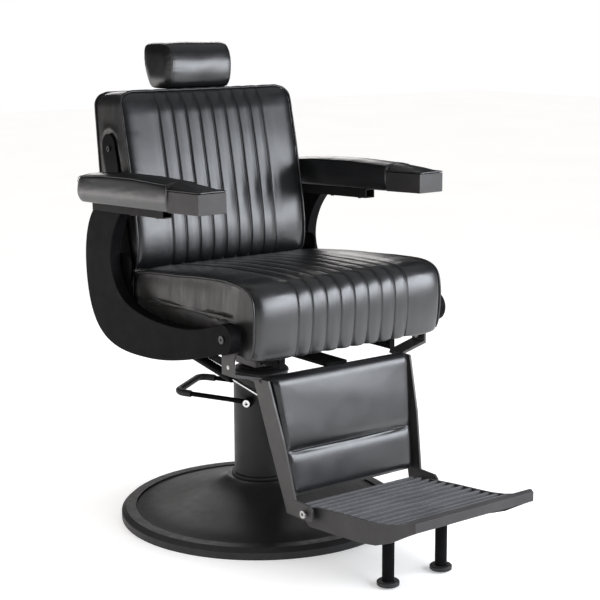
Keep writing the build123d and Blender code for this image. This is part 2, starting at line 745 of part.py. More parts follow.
with BuildPart() as leg_pad:
    with BuildSketch(pad_plane(26)):
        with BuildLine():
            FilletPolyline((-176, 0), (176, 0), (198, ll), (-198, ll), radius=10, close=True)
        make_face()
    extrude(amount=26)
save(leg_pad.part, "leg_pad")

with BuildPart() as leg_board:
    with BuildSketch(pad_plane(35.2)):
        with BuildLine():
            FilletPolyline((-174, 2), (174, 2), (196, ll - 4), (-196, ll - 4), radius=10, close=True)
        make_face()
    extrude(amount=9)
save(leg_board.part, "leg_board")

with BuildPart() as leg_straps:
    for h, w in ((232, 190.5), (44, 176.5)):
        with BuildSketch(pad_plane(40.4)):
            with BuildLine():
                t = 15 * math.tan(TAPER)
                Polyline((-w + t, h - 15), (w - t, h - 15), (w + t, h + 15), (-w - t, h + 15), close=True)
            make_face()
        extrude(amount=5)
save(leg_straps.part, "leg_straps")

# ======================= link bars =======================
lkx, lkz = PB[0] - PA[0], PB[1] - PA[1]
lkl = math.hypot(lkx, lkz)
mx, mz = -lkz / lkl, lkx / lkl
with BuildPart() as link_bars:
    for sx in (-1, 1):
        with BuildSketch(Plane.YZ.offset(sx * LINK_IN)):
            with Locations(PA, PB):
                Circle(9.5)
            with BuildLine():
                Polyline((PA[0] + 8 * mx, PA[1] + 8 * mz), (PB[0] + 8 * mx, PB[1] + 8 * mz),
                         (PB[0] - 8 * mx, PB[1] - 8 * mz), (PA[0] - 8 * mx, PA[1] - 8 * mz), close=True)
            make_face()
            with Locations(PA):
                Circle(5.02, mode=Mode.SUBTRACT)
            with Locations(PB):
                Circle(5.5, mode=Mode.SUBTRACT)
        extrude(amount=sx * (LINK_OUT - LINK_IN))
save(link_bars.part, "link_bars")

# ======================= gas spring =======================
gy, gz = L[0] - S[0], L[1] - S[1]
gl = math.hypot(gy, gz)
gas_axis = (0, gy / gl, gz / gl)


def gas_plane(s):
    return Plane(origin=(GAS_X, S[0] + gy / gl * s, S[1] + gz / gl * s), x_dir=(1, 0, 0), z_dir=gas_axis)


with BuildPart() as gas_spring_tube:
    with BuildSketch(Plane.YZ.offset(GAS_X - 5)):
        with Locations(S):
            Circle(10)
    extrude(amount=10)
    with BuildSketch(gas_plane(6)):
        Circle(6)
    extrude(amount=14)
    with BuildSketch(gas_plane(16)):
        Circle(11)
    extrude(amount=170)
    with BuildSketch(gas_plane(24)):
        Circle(9)
    extrude(amount=150, mode=Mode.SUBTRACT)
    with BuildSketch(gas_plane(170)):
        Circle(4.05)
    extrude(amount=20, mode=Mode.SUBTRACT)
    with BuildSketch(Plane.YZ.offset(GAS_X - 6)):
        with Locations(S):
            Circle(4.03)
    extrude(amount=12, mode=Mode.SUBTRACT)
save(gas_spring_tube.part, "gas_spring_tube")

with BuildPart() as gas_spring_rod:
    with BuildSketch(gas_plane(50)):
        Circle(4)
    extrude(amount=gl - 50 - 12)
    with BuildSketch(gas_plane(42)):
        Circle(8.9)
    extrude(amount=9)
    with BuildSketch(Plane.YZ.offset(GAS_X - 5)):
        with Locations(L):
            Circle(15)
    extrude(amount=10)
    with BuildSketch(Plane.YZ.offset(GAS_X - 6)):
        with Locations(L):
            Circle(10.4)
    extrude(amount=12, mode=Mode.SUBTRACT)
save(gas_spring_rod.part, "gas_spring_rod")

# ======================= footplate =======================
tread = [(-372, 150), (-400, 155), (-440, 160), (-480, 165), (-520, 169), (-560, 173), (-600, 176), (-640, 180),
         (-680, 187), (-705, 194), (-730, 204), (-752, 216)]


def tread_z(y):
    for (y0, z0), (y1, z1) in zip(tread, tread[1:]):
        if y1 <= y <= y0:
            return z0 + (z1 - z0) * (y - y0) / (y1 - y0)
    return tread[-1][1]


RIBS, RIB_W, RIB_H, PLATE_T = 14, 12.0, 7.0, 5.0
pitch = (752.0 - 374.0 - RIB_W) / (RIBS - 1)
comb = []
for i in range(RIBS):
    y0 = -374.0 - i * pitch
    y1 = y0 - RIB_W
    comb += [(y0, tread_z(y0) - RIB_H), (y0 - 1.5, tread_z(y0 - 1.5)), (y1 + 1.5, tread_z(y1 + 1.5)),
             (y1, tread_z(y1) - RIB_H)]
under = [(y, tread_z(y) - RIB_H - PLATE_T) for y in (-752, -730, -705, -680, -640, -560, -480, -400, -374)]
with BuildPart() as footplate_tread:
    with BuildSketch(Plane.YZ.offset(-162)):
        with BuildLine():
            Polyline(*comb, *under, close=True)
        make_face()
    extrude(amount=324)
save(footplate_tread.part, "footplate_tread")

# side rails and front lip in one formed piece
with BuildPart() as footplate_frame:
    for x0 in (-168, 162):
        with BuildSketch(Plane.YZ.offset(x0)):
            with BuildLine():
                Polyline((-402, 150), (-402, 118), (-412, 110), (-522, 118), (-600, 125), (-640, 132), (-686, 150), (-740, 180),
                         (-765, 193), (-765, 213), (-758, 218), (-752.2, 217), (-730, 204), (-705, 194.5),
                         (-680, 187.5), (-640, 180.5), (-600, 176.5), (-520, 169.5), (-440, 160.5), close=True)
            make_face()
        extrude(amount=6)
    with BuildSketch(Plane.YZ.offset(-162)):
        with BuildLine():
            Polyline((-752.4, 217), (-758, 218), (-765, 213), (-765, 193), (-752.4, 190), close=True)
        make_face()
    extrude(amount=324)
    for sx in (-1, 1):
        with BuildSketch(Plane.YZ.offset(sx * 160)):
            with Locations(C):
                Circle(5.0)
        extrude(amount=sx * 12, mode=Mode.SUBTRACT)
save(footplate_frame.part, "footplate_frame")

with BuildPart() as foot_hinge_bolts:
    for sx in (-1, 1):
        with BuildSketch(Plane.YZ.offset(sx * 162.2)):
            with Locations(C):
                Circle(4.95)
        extrude(amount=sx * 28.8)
        with BuildSketch(Plane.YZ.offset(sx * 191)):
            with Locations(C):
                Circle(9)
                RegularPolygon(3.6, 6, mode=Mode.SUBTRACT)
        extrude(amount=sx * 4)
save(foot_hinge_bolts.part, "foot_hinge_bolts")

with BuildPart() as foot_spacers:
    for sx in (-1, 1):
        with BuildSketch(Plane.YZ.offset(sx * 168.3)):
            with Locations(C):
                Circle(9.5)
                Circle(5.0, mode=Mode.SUBTRACT)
        extrude(amount=sx * 8.5)
save(foot_spacers.part, "foot_spacers")

with BuildPart() as footplate_crossbar:
    with BuildSketch(Plane.YZ.offset(-162)):
        with BuildLine():
            Polyline((-555, 130), (-595, 130), (-595, 158), (-555, 158), close=True)
        make_face()
    extrude(amount=324)
    with BuildSketch(Plane.YZ.offset(-162)):
        with BuildLine():
            Polyline((-558, 133), (-592, 133), (-592, 155), (-558, 155), close=True)
        make_face()
    extrude(amount=324, mode=Mode.SUBTRACT)
save(footplate_crossbar.part, "footplate_crossbar")

with BuildPart() as foot_posts:
    with BuildSketch(Plane.XY.offset(14)):
        with Locations((-77, -575), (77, -575)):
            Circle(13.5)
    extrude(amount=116)
save(foot_posts.part, "foot_posts")

with BuildPart() as foot_glides:
    with BuildSketch(Plane.XY.offset(4)):
        with Locations((-77, -575), (77, -575)):
            Circle(25)
    extrude(amount=10)
    chamfer(foot_glides.edges().group_by(Axis.Z)[-1], 2)
    chamfer(foot_glides.edges().group_by(Axis.Z)[0], 1)
save(foot_glides.part, "foot_glides")
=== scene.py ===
import math

import bmesh
import bpy
import numpy as np
from mathutils import Matrix, Vector, noise


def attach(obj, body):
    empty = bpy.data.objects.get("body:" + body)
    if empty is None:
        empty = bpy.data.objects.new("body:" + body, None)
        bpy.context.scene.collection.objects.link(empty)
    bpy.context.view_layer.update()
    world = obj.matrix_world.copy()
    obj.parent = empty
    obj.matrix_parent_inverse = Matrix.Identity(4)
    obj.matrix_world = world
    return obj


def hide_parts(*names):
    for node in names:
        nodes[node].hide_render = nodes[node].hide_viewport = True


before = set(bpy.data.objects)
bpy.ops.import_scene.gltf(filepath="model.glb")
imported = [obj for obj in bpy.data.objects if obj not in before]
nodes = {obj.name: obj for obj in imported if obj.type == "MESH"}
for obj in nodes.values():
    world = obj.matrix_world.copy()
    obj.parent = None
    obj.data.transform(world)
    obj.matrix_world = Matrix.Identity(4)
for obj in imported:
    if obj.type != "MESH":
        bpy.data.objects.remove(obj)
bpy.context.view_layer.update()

scene = bpy.context.scene
MM = 0.001

# ------------------------------------------------------------------ camera
AZ, PITCH, ROLL = math.radians(-37.1141), math.radians(11.0064), math.radians(-0.2816)
fwd = Vector((-math.sin(AZ) * math.cos(PITCH), math.cos(AZ) * math.cos(PITCH), -math.sin(PITCH)))
right = Vector((math.cos(AZ), math.sin(AZ), 0))
up = right.cross(fwd)
r2 = right * math.cos(ROLL) + up * math.sin(ROLL)
u2 = -right * math.sin(ROLL) + up * math.cos(ROLL)
cam_data = bpy.data.cameras.new("camera")
cam_data.sensor_width = 36
cam_data.sensor_fit = "HORIZONTAL"
cam_data.lens = 89.73
cam_data.clip_end = 100
camera = bpy.data.objects.new("camera", cam_data)
scene.collection.objects.link(camera)
camera.matrix_world = Matrix((
    (r2.x, u2.x, -fwd.x, -2.0776),
    (r2.y, u2.y, -fwd.y, -2.9073),
    (r2.z, u2.z, -fwd.z, 1.2300),
    (0, 0, 0, 1),
))
scene.camera = camera
scene.view_settings.view_transform = "Standard"
scene.view_settings.look = "None"


# ------------------------------------------------------------------ node helpers
class Mat:
    """A procedural Principled material, built up step by step. Texture space is the row frame in metres."""

    def __init__(self, name, rough, metallic=0.0, specular=0.5, coat=0.0, coat_rough=0.1):
        self.m = bpy.data.materials.new(name)
        self.m.use_nodes = True
        self.t = self.m.node_tree
        self.t.nodes.clear()
        self.out = self.n("ShaderNodeOutputMaterial")
        self.b = self.n("ShaderNodeBsdfPrincipled")
        self.l(self.b, "BSDF", self.out, "Surface")
        self.b.inputs["Roughness"].default_value = rough
        self.b.inputs["Metallic"].default_value = metallic
        self.b.inputs["Specular IOR Level"].default_value = specular
        self.b.inputs["Coat Weight"].default_value = coat
        self.b.inputs["Coat Roughness"].default_value = coat_rough
        self.co = self.n("ShaderNodeTexCoord")
        self.normal = None
        self.colour = None

    def n(self, kind):
        return self.t.nodes.new(kind)

    def l(self, a, ao, b, bi):
        self.t.links.new(a.outputs[ao], b.inputs[bi])

    def vec(self, scale=(1, 1, 1), rot=(0, 0, 0)):
        mp = self.n("ShaderNodeMapping")
        mp.inputs["Scale"].default_value = scale
        mp.inputs["Rotation"].default_value = rot
        self.l(self.co, "Object", mp, "Vector")
        return mp

    def noise(self, scale, detail=4, rough=0.55, distortion=0.0, stretch=(1, 1, 1), rot=(0, 0, 0)):
        t = self.n("ShaderNodeTexNoise")
        t.inputs["Scale"].default_value = scale
        t.inputs["Detail"].default_value = detail
        t.inputs["Roughness"].default_value = rough
        t.inputs["Distortion"].default_value = distortion
        self.l(self.vec(stretch, rot), "Vector", t, "Vector")
        return t, "Fac"

    def voronoi(self, scale, stretch=(1, 1, 1), smooth=0.6, feature="SMOOTH_F1"):
        t = self.n("ShaderNodeTexVoronoi")
        t.feature = feature
        t.inputs["Scale"].default_value = scale
        if feature == "SMOOTH_F1":
            t.inputs["Smoothness"].default_value = smooth
        self.l(self.vec(stretch), "Vector", t, "Vector")
        return t, "Distance"

    def ramp(self, src, lo, hi, a=0.0, b=1.0):
        r = self.n("ShaderNodeMapRange")
        r.inputs["From Min"].default_value = lo
        r.inputs["From Max"].default_value = hi
        r.inputs["To Min"].default_value = a
        r.inputs["To Max"].default_value = b
        self.l(src[0], src[1], r, "Value")
        return r, "Result"

    def mix_colour(self, fac, a, b):
        """a is a colour or a source, b a colour."""
        mx = self.n("ShaderNodeMix")
        mx.data_type = "RGBA"
        if isinstance(a, tuple) and len(a) == 3:
            mx.inputs[6].default_value = (*a, 1)
        else:
            self.t.links.new(a[0].outputs[a[1]], mx.inputs[6])
        mx.inputs[7].default_value = (*b, 1)
        self.t.links.new(fac[0].outputs[fac[1]], mx.inputs[0])
        return mx, 2

    def base(self, src):
        self.colour = src
        self.t.links.new(src[0].outputs[src[1]], self.b.inputs["Base Color"])

    def rough(self, src):
        self.t.links.new(src[0].outputs[src[1]], self.b.inputs["Roughness"])

    def bump(self, src, strength, distance):
        bp = self.n("ShaderNodeBump")
        bp.inputs["Strength"].default_value = strength
        bp.inputs["Distance"].default_value = distance
        self.t.links.new(src[0].outputs[src[1]], bp.inputs["Height"])
        if self.normal is not None:
            self.t.links.new(self.normal[0].outputs[self.normal[1]], bp.inputs["Normal"])
        self.normal = (bp, "Normal")

    def bevel(self, radius):
        bv = self.n("ShaderNodeBevel")
        bv.samples = 4
        bv.inputs["Radius"].default_value = radius
        self.normal = (bv, "Normal")
        return bv

    def edge_mask(self, radius, lo=0.02, hi=0.25):
        """1 on a convex or concave edge, 0 on a flat."""
        bv = self.n("ShaderNodeBevel")
        bv.samples = 4
        bv.inputs["Radius"].default_value = radius
        g = self.n("ShaderNodeNewGeometry")
        d = self.n("ShaderNodeVectorMath")
        d.operation = "DOT_PRODUCT"
        self.t.links.new(bv.outputs["Normal"], d.inputs[0])
        self.t.links.new(g.outputs["Normal"], d.inputs[1])
        inv = self.n("ShaderNodeMath")
        inv.operation = "SUBTRACT"
        inv.inputs[0].default_value = 1.0
        self.t.links.new(d.outputs["Value"], inv.inputs[1])
        return self.ramp((inv, "Value"), lo, hi)

    def mul(self, a, b):
        m = self.n("ShaderNodeMath")
        m.operation = "MULTIPLY"
        self.t.links.new(a[0].outputs[a[1]], m.inputs[0])
        if isinstance(b, (int, float)):
            m.inputs[1].default_value = b
        else:
            self.t.links.new(b[0].outputs[b[1]], m.inputs[1])
        return m, "Value"

    def add(self, a, b):
        m = self.n("ShaderNodeMath")
        m.operation = "ADD"
        self.t.links.new(a[0].outputs[a[1]], m.inputs[0])
        if isinstance(b, (int, float)):
            m.inputs[1].default_value = b
        else:
            self.t.links.new(b[0].outputs[b[1]], m.inputs[1])
        return m, "Value"

    def done(self):
        if self.normal is not None:
            self.t.links.new(self.normal[0].outputs[self.normal[1]], self.b.inputs["Normal"])
        return self.m


def leather(name, dark, light, r0, r1, grain=1.0, pull=1.0, streak=(1, 1, 1), specular=0.5):
    """Coated vinyl upholstery: pebbled grain, faint dusty mottling and slow undulation of the foam below."""
    k = Mat(name, (r0 + r1) / 2, specular=specular)
    cloud = k.noise(9, 5, 0.6, stretch=streak)
    fine = k.noise(140, 3, 0.6)
    c = k.mix_colour(k.ramp(cloud, 0.35, 0.72), dark, light)
    c = k.mix_colour(k.ramp(fine, 0.5, 0.85, 0, 0.25), c, tuple(v * 1.4 + 0.002 for v in light))
    k.base(c)
    k.rough(k.ramp(k.noise(26, 4, 0.5, stretch=streak), 0.3, 0.7, r0, r1))
    k.bump(k.noise(13, 2, 0.4, 0.2, stretch=streak), 0.13 * pull, 0.004)
    k.bump(k.noise(60, 2, 0.45, 0.3, stretch=(1.6, 0.7, 0.8)), 0.07 * pull, 0.0008)
    k.bump(k.voronoi(620, smooth=0.75), 0.26 * grain, 0.00018)
    k.bump(k.noise(2300, 2, 0.5), 0.14 * grain, 0.00008)
    return k.done()


def powder(name, dark, light, r0, r1, worn=(0.09, 0.085, 0.083), edge=0.0009, peel=1.0, wear=0.55, specular=0.5):
    """Powder-coated or painted steel: orange peel, handling marks, edges rubbed lighter."""
    k = Mat(name, (r0 + r1) / 2, specular=specular)
    c = k.mix_colour(k.ramp(k.noise(12, 5, 0.6), 0.35, 0.7), dark, light)
    mask = k.mul(k.edge_mask(edge), k.ramp(k.noise(70, 4, 0.65), 0.25, 0.75, wear * 0.35, wear))
    c = k.mix_colour(mask, c, worn)
    k.base(c)
    k.rough(k.ramp(k.noise(34, 5, 0.65), 0.3, 0.7, r0, r1))
    k.bevel(edge)
    k.bump(k.noise(900, 2, 0.5), 0.16 * peel, 0.0001)
    k.bump(k.noise(3600, 2, 0.6), 0.10 * peel, 0.00004)
    return k.done()


def bare(name, dark, light, r0, r1, brushed=(1, 1, 1), edge=0.0006, scratch=1.0):
    """Chromed, zinc-plated or machined metal."""
    k = Mat(name, (r0 + r1) / 2, metallic=1.0)
    k.base(k.mix_colour(k.ramp(k.noise(45, 4, 0.6), 0.3, 0.75), light, dark))
    k.rough(k.ramp(k.noise(160, 4, 0.65, stretch=brushed), 0.3, 0.75, r0, r1))
    k.bevel(edge)
    k.bump(k.noise(1400, 2, 0.6, stretch=brushed), 0.06 * scratch, 0.00005)
    return k.done()


M = {}
M["vinyl"] = leather("vinyl_black", (0.0046, 0.0048, 0.0058), (0.0074, 0.0078, 0.0090), 0.30, 0.36, specular=0.85)
# a lighter copy of the black vinyl for the side panels and the rear panel: painted sheen, not a different vinyl
M["vinyl_side_sheen"] = leather("vinyl_side_sheen", (0.007, 0.0068, 0.0068), (0.021, 0.0200, 0.0196), 0.32, 0.46, pull=0.9, streak=(1, 2.2, 0.45))
M["piping"] = leather("vinyl_piping", (0.008, 0.008, 0.009), (0.020, 0.0195, 0.0205), 0.30, 0.42, grain=0.7, pull=0.3)
M["thread"] = None
M["frame"] = powder("powder_black", (0.0038, 0.0038, 0.0044), (0.0066, 0.0064, 0.0068), 0.42, 0.52, worn=(0.09, 0.086, 0.084), specular=0.03)
# the side bars of the back get a darker copy of the black powder coat: painted shade for the recess they sit in
M["bar"] = powder("powder_bar_shaded", (0.0016, 0.0016, 0.0018), (0.0030, 0.0029, 0.0031), 0.34, 0.44, worn=(0.02, 0.019, 0.019), specular=0.05)
M["steel_grey"] = powder("powder_graphite", (0.030, 0.0280, 0.0280), (0.044, 0.0405, 0.0400), 0.38, 0.50,
                         worn=(0.15, 0.146, 0.145), wear=0.6, specular=0.5)
M["block"] = powder("cast_graphite", (0.028, 0.0265, 0.0272), (0.040, 0.0375, 0.0382), 0.40, 0.50, worn=(0.30, 0.29, 0.29),
                    edge=0.0010, wear=0.75, specular=0.30)
M["tube"] = powder("powder_tube", (0.0125, 0.0118, 0.0118), (0.0180, 0.0170, 0.0170), 0.42, 0.52, worn=(0.10, 0.096, 0.094), specular=0.08)
M["column"] = powder("powder_column", (0.0085, 0.0082, 0.0086), (0.0135, 0.0128, 0.0130), 0.40, 0.50, edge=0.0012, specular=0.4)
M["dome"] = powder("powder_dome", (0.0120, 0.0118, 0.0126), (0.0190, 0.0185, 0.0192), 0.40, 0.50, edge=0.0015, peel=0.8, specular=0.5)
M["cast"] = powder("cast_black", (0.014, 0.0138, 0.0145), (0.025, 0.024, 0.0245), 0.45, 0.62, worn=(0.10, 0.098, 0.097), peel=2.0)


def rubber(name, dark, light, r0, r1, dust=(0.07, 0.068, 0.066)):
    k = Mat(name, (r0 + r1) / 2, specular=0.4)
    c = k.mix_colour(k.ramp(k.noise(18, 5, 0.6), 0.35, 0.7), dark, light)
    c = k.mix_colour(k.mul(k.edge_mask(0.0012), k.ramp(k.noise(90, 4, 0.65), 0.3, 0.8, 0.1, 0.5)), c, dust)
    k.base(c)
    k.rough(k.ramp(k.noise(60, 4, 0.6), 0.3, 0.7, r0, r1))
    k.bevel(0.0008)
    k.bump(k.noise(1100, 3, 0.6), 0.2, 0.00012)
    return k.done()


M["rubber"] = rubber("rubber_black", (0.011, 0.011, 0.012), (0.020, 0.0196, 0.020), 0.46, 0.60)
M["grip"] = rubber("rubber_grip", (0.013, 0.013, 0.014), (0.024, 0.0235, 0.024), 0.50, 0.64)
M["plastic"] = rubber("plastic_black", (0.010, 0.010, 0.011), (0.017, 0.0168, 0.0175), 0.32, 0.44)
M["chrome"] = bare("chrome", (0.52, 0.52, 0.53), (0.78, 0.78, 0.79), 0.08, 0.20)
M["zinc"] = bare("screw_bright", (0.38, 0.38, 0.38), (0.62, 0.61, 0.60), 0.22, 0.38)
M["steel"] = bare("steel_machined", (0.30, 0.30, 0.31), (0.52, 0.52, 0.53), 0.20, 0.36, brushed=(1, 1, 12))
M["bronze"] = bare("bronze", (0.42, 0.26, 0.13), (0.60, 0.40, 0.20), 0.26, 0.42)
M["screw"] = powder("screw_black", (0.018, 0.018, 0.019), (0.030, 0.029, 0.030), 0.28, 0.42, worn=(0.26, 0.25, 0.25), edge=0.0007, wear=0.8)


def tread_material():
    """Anodised dark grey ribs: upward-facing faces are lighter in streaky patches, the valleys keep the dark."""
    k = Mat("tread_grey", 0.42, metallic=0.0, specular=0.5)
    c = k.mix_colour(k.ramp(k.noise(16, 5, 0.6), 0.35, 0.7), (0.050, 0.0515, 0.056), (0.078, 0.080, 0.085))
    g = k.n("ShaderNodeNewGeometry")
    sep = k.n("ShaderNodeSeparateXYZ")
    k.t.links.new(g.outputs["True Normal"], sep.inputs[0])
    # faces whose true normal points up are mixed lighter in streaky patches
    top = k.ramp((sep, "Z"), 0.86, 0.97)
    top_patches = k.mul(top, k.ramp(k.noise(24, 5, 0.7, stretch=(0.25, 1, 1)), 0.25, 0.75, 0.12, 0.5))
    c = k.mix_colour(top_patches, c, (0.190, 0.194, 0.202))
    c = k.mix_colour(k.mul(k.edge_mask(0.0010), k.ramp(k.noise(80, 4, 0.6), 0.3, 0.7, 0.3, 0.9)), c, (0.34, 0.345, 0.35))
    k.base(c)
    k.rough(k.ramp(k.noise(120, 4, 0.6, stretch=(0.1, 1, 1)), 0.3, 0.7, 0.32, 0.5))
    k.bevel(0.0009)
    k.bump(k.noise(700, 2, 0.5, stretch=(0.05, 1, 1)), 0.12, 0.00012)
    return k.done()


M["tread"] = tread_material()


def plywood_material():
    """Underside of the boards: plywood under a black dust cloth."""
    k = Mat("dust_cloth", 0.9, specular=0.2)
    weave = k.noise(1500, 2, 0.5, stretch=(1, 0.2, 1))
    c = k.mix_colour(k.ramp(k.noise(30, 5, 0.6), 0.3, 0.7), (0.010, 0.010, 0.011), (0.020, 0.0195, 0.019))
    c = k.mix_colour(k.ramp(weave, 0.5, 0.8, 0, 0.5), c, (0.036, 0.035, 0.034))
    k.base(c)
    k.bump(weave, 0.4, 0.0003)
    return k.done()


M["dust"] = plywood_material()
kt = Mat("thread", 0.62, specular=0.35)
kt.base(kt.mix_colour(kt.ramp(kt.noise(900, 2, 0.5), 0.3, 0.7), (0.016, 0.016, 0.018), (0.040, 0.039, 0.041)))
kt.bump(kt.noise(3000, 2, 0.5, stretch=(1, 1, 0.2)), 0.4, 0.0001)
M["thread"] = kt.done()

finish_of = {
    "base_plate": "cast", "base_dome": "dome", "base_rim": "rubber", "column_gasket": "rubber",
    "column_jacket": "column", "column_cap": "cast", "hydraulic_cylinder": "steel", "cylinder_bolts": "screw",
    "pump_block": "cast", "guide_bush": "bronze", "lever_pivot_bolts": "chrome", "lever_loop": "frame",
    "lever_sleeve": "grip", "piston_head": "steel", "piston_seal": "rubber", "ram": "chrome",
    "seat_socket": "steel_grey", "mount_plate": "frame", "frame_screws": "screw", "seat_frame": "frame",
    "seat_board": "dust", "c_arm_right": "frame", "c_arm_left": "frame", "arm_tubes": "tube",
    "arm_block_right": "block", "arm_block_left": "block", "arm_screws": "screw", "back_hinge_pins": "zinc",
    "leg_hinge_bolts": "screw", "gas_spring_rear_pin": "zinc", "back_frame_right": "bar",
    "back_frame_left": "bar", "rear_link_pins": "zinc", "back_screws": "screw", "headrest_socket": "plastic",
    "headrest_post": "steel", "headrest_bracket": "frame", "leg_frame_right": "steel_grey",
    "leg_frame_left": "steel_grey", "leg_rest_pins": "zinc", "leg_board": "dust", "leg_straps": "frame",
    "foot_hinge_bolts": "zinc", "foot_spacers": "plastic", "link_bars": "frame", "gas_spring_tube": "frame",
    "gas_spring_rod": "chrome", "footplate_tread": "tread", "footplate_frame": "block",
    "footplate_crossbar": "frame", "foot_posts": "frame", "foot_glides": "rubber",
}
for name, key in finish_of.items():
    o = nodes[name]
    if not o.material_slots:
        o.data.materials.append(M[key])
    for s in o.material_slots:
        s.material = M[key]


# ------------------------------------------------------------------ mesh helpers
def smoothstep(a, b, x):
    t = np.clip((x - a) / (b - a), 0, 1)
    return t * t * (3 - 2 * t)


def wob(x, seed, scale):
    """Smooth 1-D noise, about -1 to 1."""
    return noise.noise(Vector((x / scale + seed * 7.31, seed * 3.17, 0.5))) * 2.0


def chaikin(pts, n):
    p = [np.array(q, float) for q in pts]
    for _ in range(n):
        q = []
        for a, b in zip(p, p[1:] + p[:1]):
            q += [a * 0.75 + b * 0.25, a * 0.25 + b * 0.75]
        p = q
    return np.array(p)


def resample(p, count, closed=True):
    q = np.vstack([p, p[:1]]) if closed else p
    d = np.r_[0, np.cumsum(np.linalg.norm(np.diff(q, axis=0), axis=1))]
    t = np.linspace(0, d[-1], count + 1)[:-1] if closed else np.linspace(0, d[-1], count)
    return np.column_stack([np.interp(t, d, q[:, i]) for i in range(q.shape[1])]), d[-1]


def outward(p, closed=True):
    """Unit normals of a 2-D line that runs anticlockwise."""
    if closed:
        t = np.roll(p, -1, axis=0) - np.roll(p, 1, axis=0)
    else:
        t = np.gradient(p, axis=0)
    n = np.column_stack([t[:, 1], -t[:, 0]])
    return n / np.maximum(np.linalg.norm(n, axis=1, keepdims=True), 1e-9)


def area2(p):
    x, y = p[:, 0], p[:, 1]
    return 0.5 * float(np.sum(x * np.roll(y, -1) - np.roll(x, -1) * y))


def make(name, verts, faces, material, body, smooth=True):
    me = bpy.data.meshes.new(name)
    me.from_pydata([tuple(v) for v in np.asarray(verts, float) * MM], [], [tuple(int(i) for i in f) for f in faces])
    bm = bmesh.new()
    bm.from_mesh(me)
    bmesh.ops.remove_doubles(bm, verts=bm.verts, dist=0.00002)
    bmesh.ops.recalc_face_normals(bm, faces=bm.faces)
    bm.to_mesh(me)
    bm.free()
    me.update()
    if smooth:
        me.polygons.foreach_set("use_smooth", [True] * len(me.polygons))
    o = bpy.data.objects.new(name, me)
    scene.collection.objects.link(o)
    o.data.materials.append(M[material])
    o["body_name"] = body
    return o


def points(o):
    a = np.empty(len(o.data.vertices) * 3)
    o.data.vertices.foreach_get("co", a)
    return a.reshape(-1, 3)


def set_points(o, p):
    o.data.vertices.foreach_set("co", np.asarray(p, float).ravel())
    o.data.update()


def stuff(o, pin, cap, pressure=4.0, shrink=0.0, frames=20, stiff=18.0, bend=0.6):
    """Cloth under pressure with pinned seams. pin is a weight per vertex, cap the most a vertex may move in mm."""
    rest = points(o)
    g = o.vertex_groups.new(name="pin")
    for w in (1.0, 0.75, 0.5, 0.25):
        idx = np.nonzero((pin <= w + 1e-9) & (pin > w - 0.25 + 1e-9))[0]
        if len(idx):
            g.add([int(i) for i in idx], float(w), "REPLACE")
    md = o.modifiers.new("cloth", "CLOTH")
    s = md.settings
    s.quality = 5
    s.mass = 0.3
    s.tension_stiffness = stiff
    s.compression_stiffness = stiff
    s.shear_stiffness = stiff * 0.4
    s.bending_stiffness = bend
    s.use_pressure = True
    s.uniform_pressure_force = pressure
    s.effector_weights.gravity = 0
    s.vertex_group_mass = "pin"
    s.pin_stiffness = 1.0
    s.shrink_min = shrink
    md.collision_settings.use_collision = False
    md.collision_settings.use_self_collision = False
    md.point_cache.frame_start = 1
    md.point_cache.frame_end = frames
    for f in range(1, frames + 1):
        scene.frame_set(f)
    ev = o.evaluated_get(bpy.context.evaluated_depsgraph_get())
    a = np.empty(len(rest) * 3)
    ev.data.vertices.foreach_get("co", a)
    moved = a.reshape(-1, 3) - rest
    length = np.linalg.norm(moved, axis=1, keepdims=True)
    limit = cap * MM * (1 - np.clip(pin, 0, 1))[:, None]
    soft = limit * np.tanh(length / np.maximum(limit, 1e-9))
    moved = np.where(length > 1e-9, moved / np.maximum(length, 1e-9) * soft, 0)
    moved[~np.isfinite(moved).all(axis=1)] = 0
    o.modifiers.remove(md)
    o.vertex_groups.clear()
    scene.frame_set(1)
    set_points(o, rest + moved)


def subdivide(o, levels=1):
    md = o.modifiers.new("subdivision", "SUBSURF")
    md.levels = md.render_levels = levels
    md.subdivision_type = "CATMULL_CLARK"


def tube(name, pts, radius, material, body, segs=8, taper=0, closed=False):
    """A round cord that follows points in mm."""
    p = np.asarray(pts, float)
    n = len(p)
    if closed:
        t = np.roll(p, -1, axis=0) - np.roll(p, 1, axis=0)
    else:
        t = np.gradient(p, axis=0)
    t /= np.linalg.norm(t, axis=1, keepdims=True)
    ref = np.array([0.0, 0.0, 1.0]) if abs(t[0][2]) < 0.9 else np.array([1.0, 0, 0])
    u = ref - t[0] * ref.dot(t[0])
    u /= np.linalg.norm(u)
    verts, faces = [], []
    for i in range(n):
        u = u - t[i] * u.dot(t[i])
        u /= np.linalg.norm(u)
        v = np.cross(t[i], u)
        r = radius * (1 + 0.05 * wob(i * 3.0, 11, 9.0))
        if taper and not closed:
            r *= min(1.0, 0.35 + 0.65 * min(i, n - 1 - i) / taper)
        for k in range(segs):
            a = 2 * math.pi * k / segs
            verts.append(p[i] + r * (math.cos(a) * u + math.sin(a) * v))
    rows = n if closed else n - 1
    for i in range(rows):
        j = (i + 1) % n
        for k in range(segs):
            k2 = (k + 1) % segs
            faces.append((i * segs + k, i * segs + k2, j * segs + k2, j * segs + k))
    if not closed:
        faces.append(tuple(range(segs - 1, -1, -1)))
        faces.append(tuple((n - 1) * segs + k for k in range(segs)))
    return make(name, verts, faces, material, body)


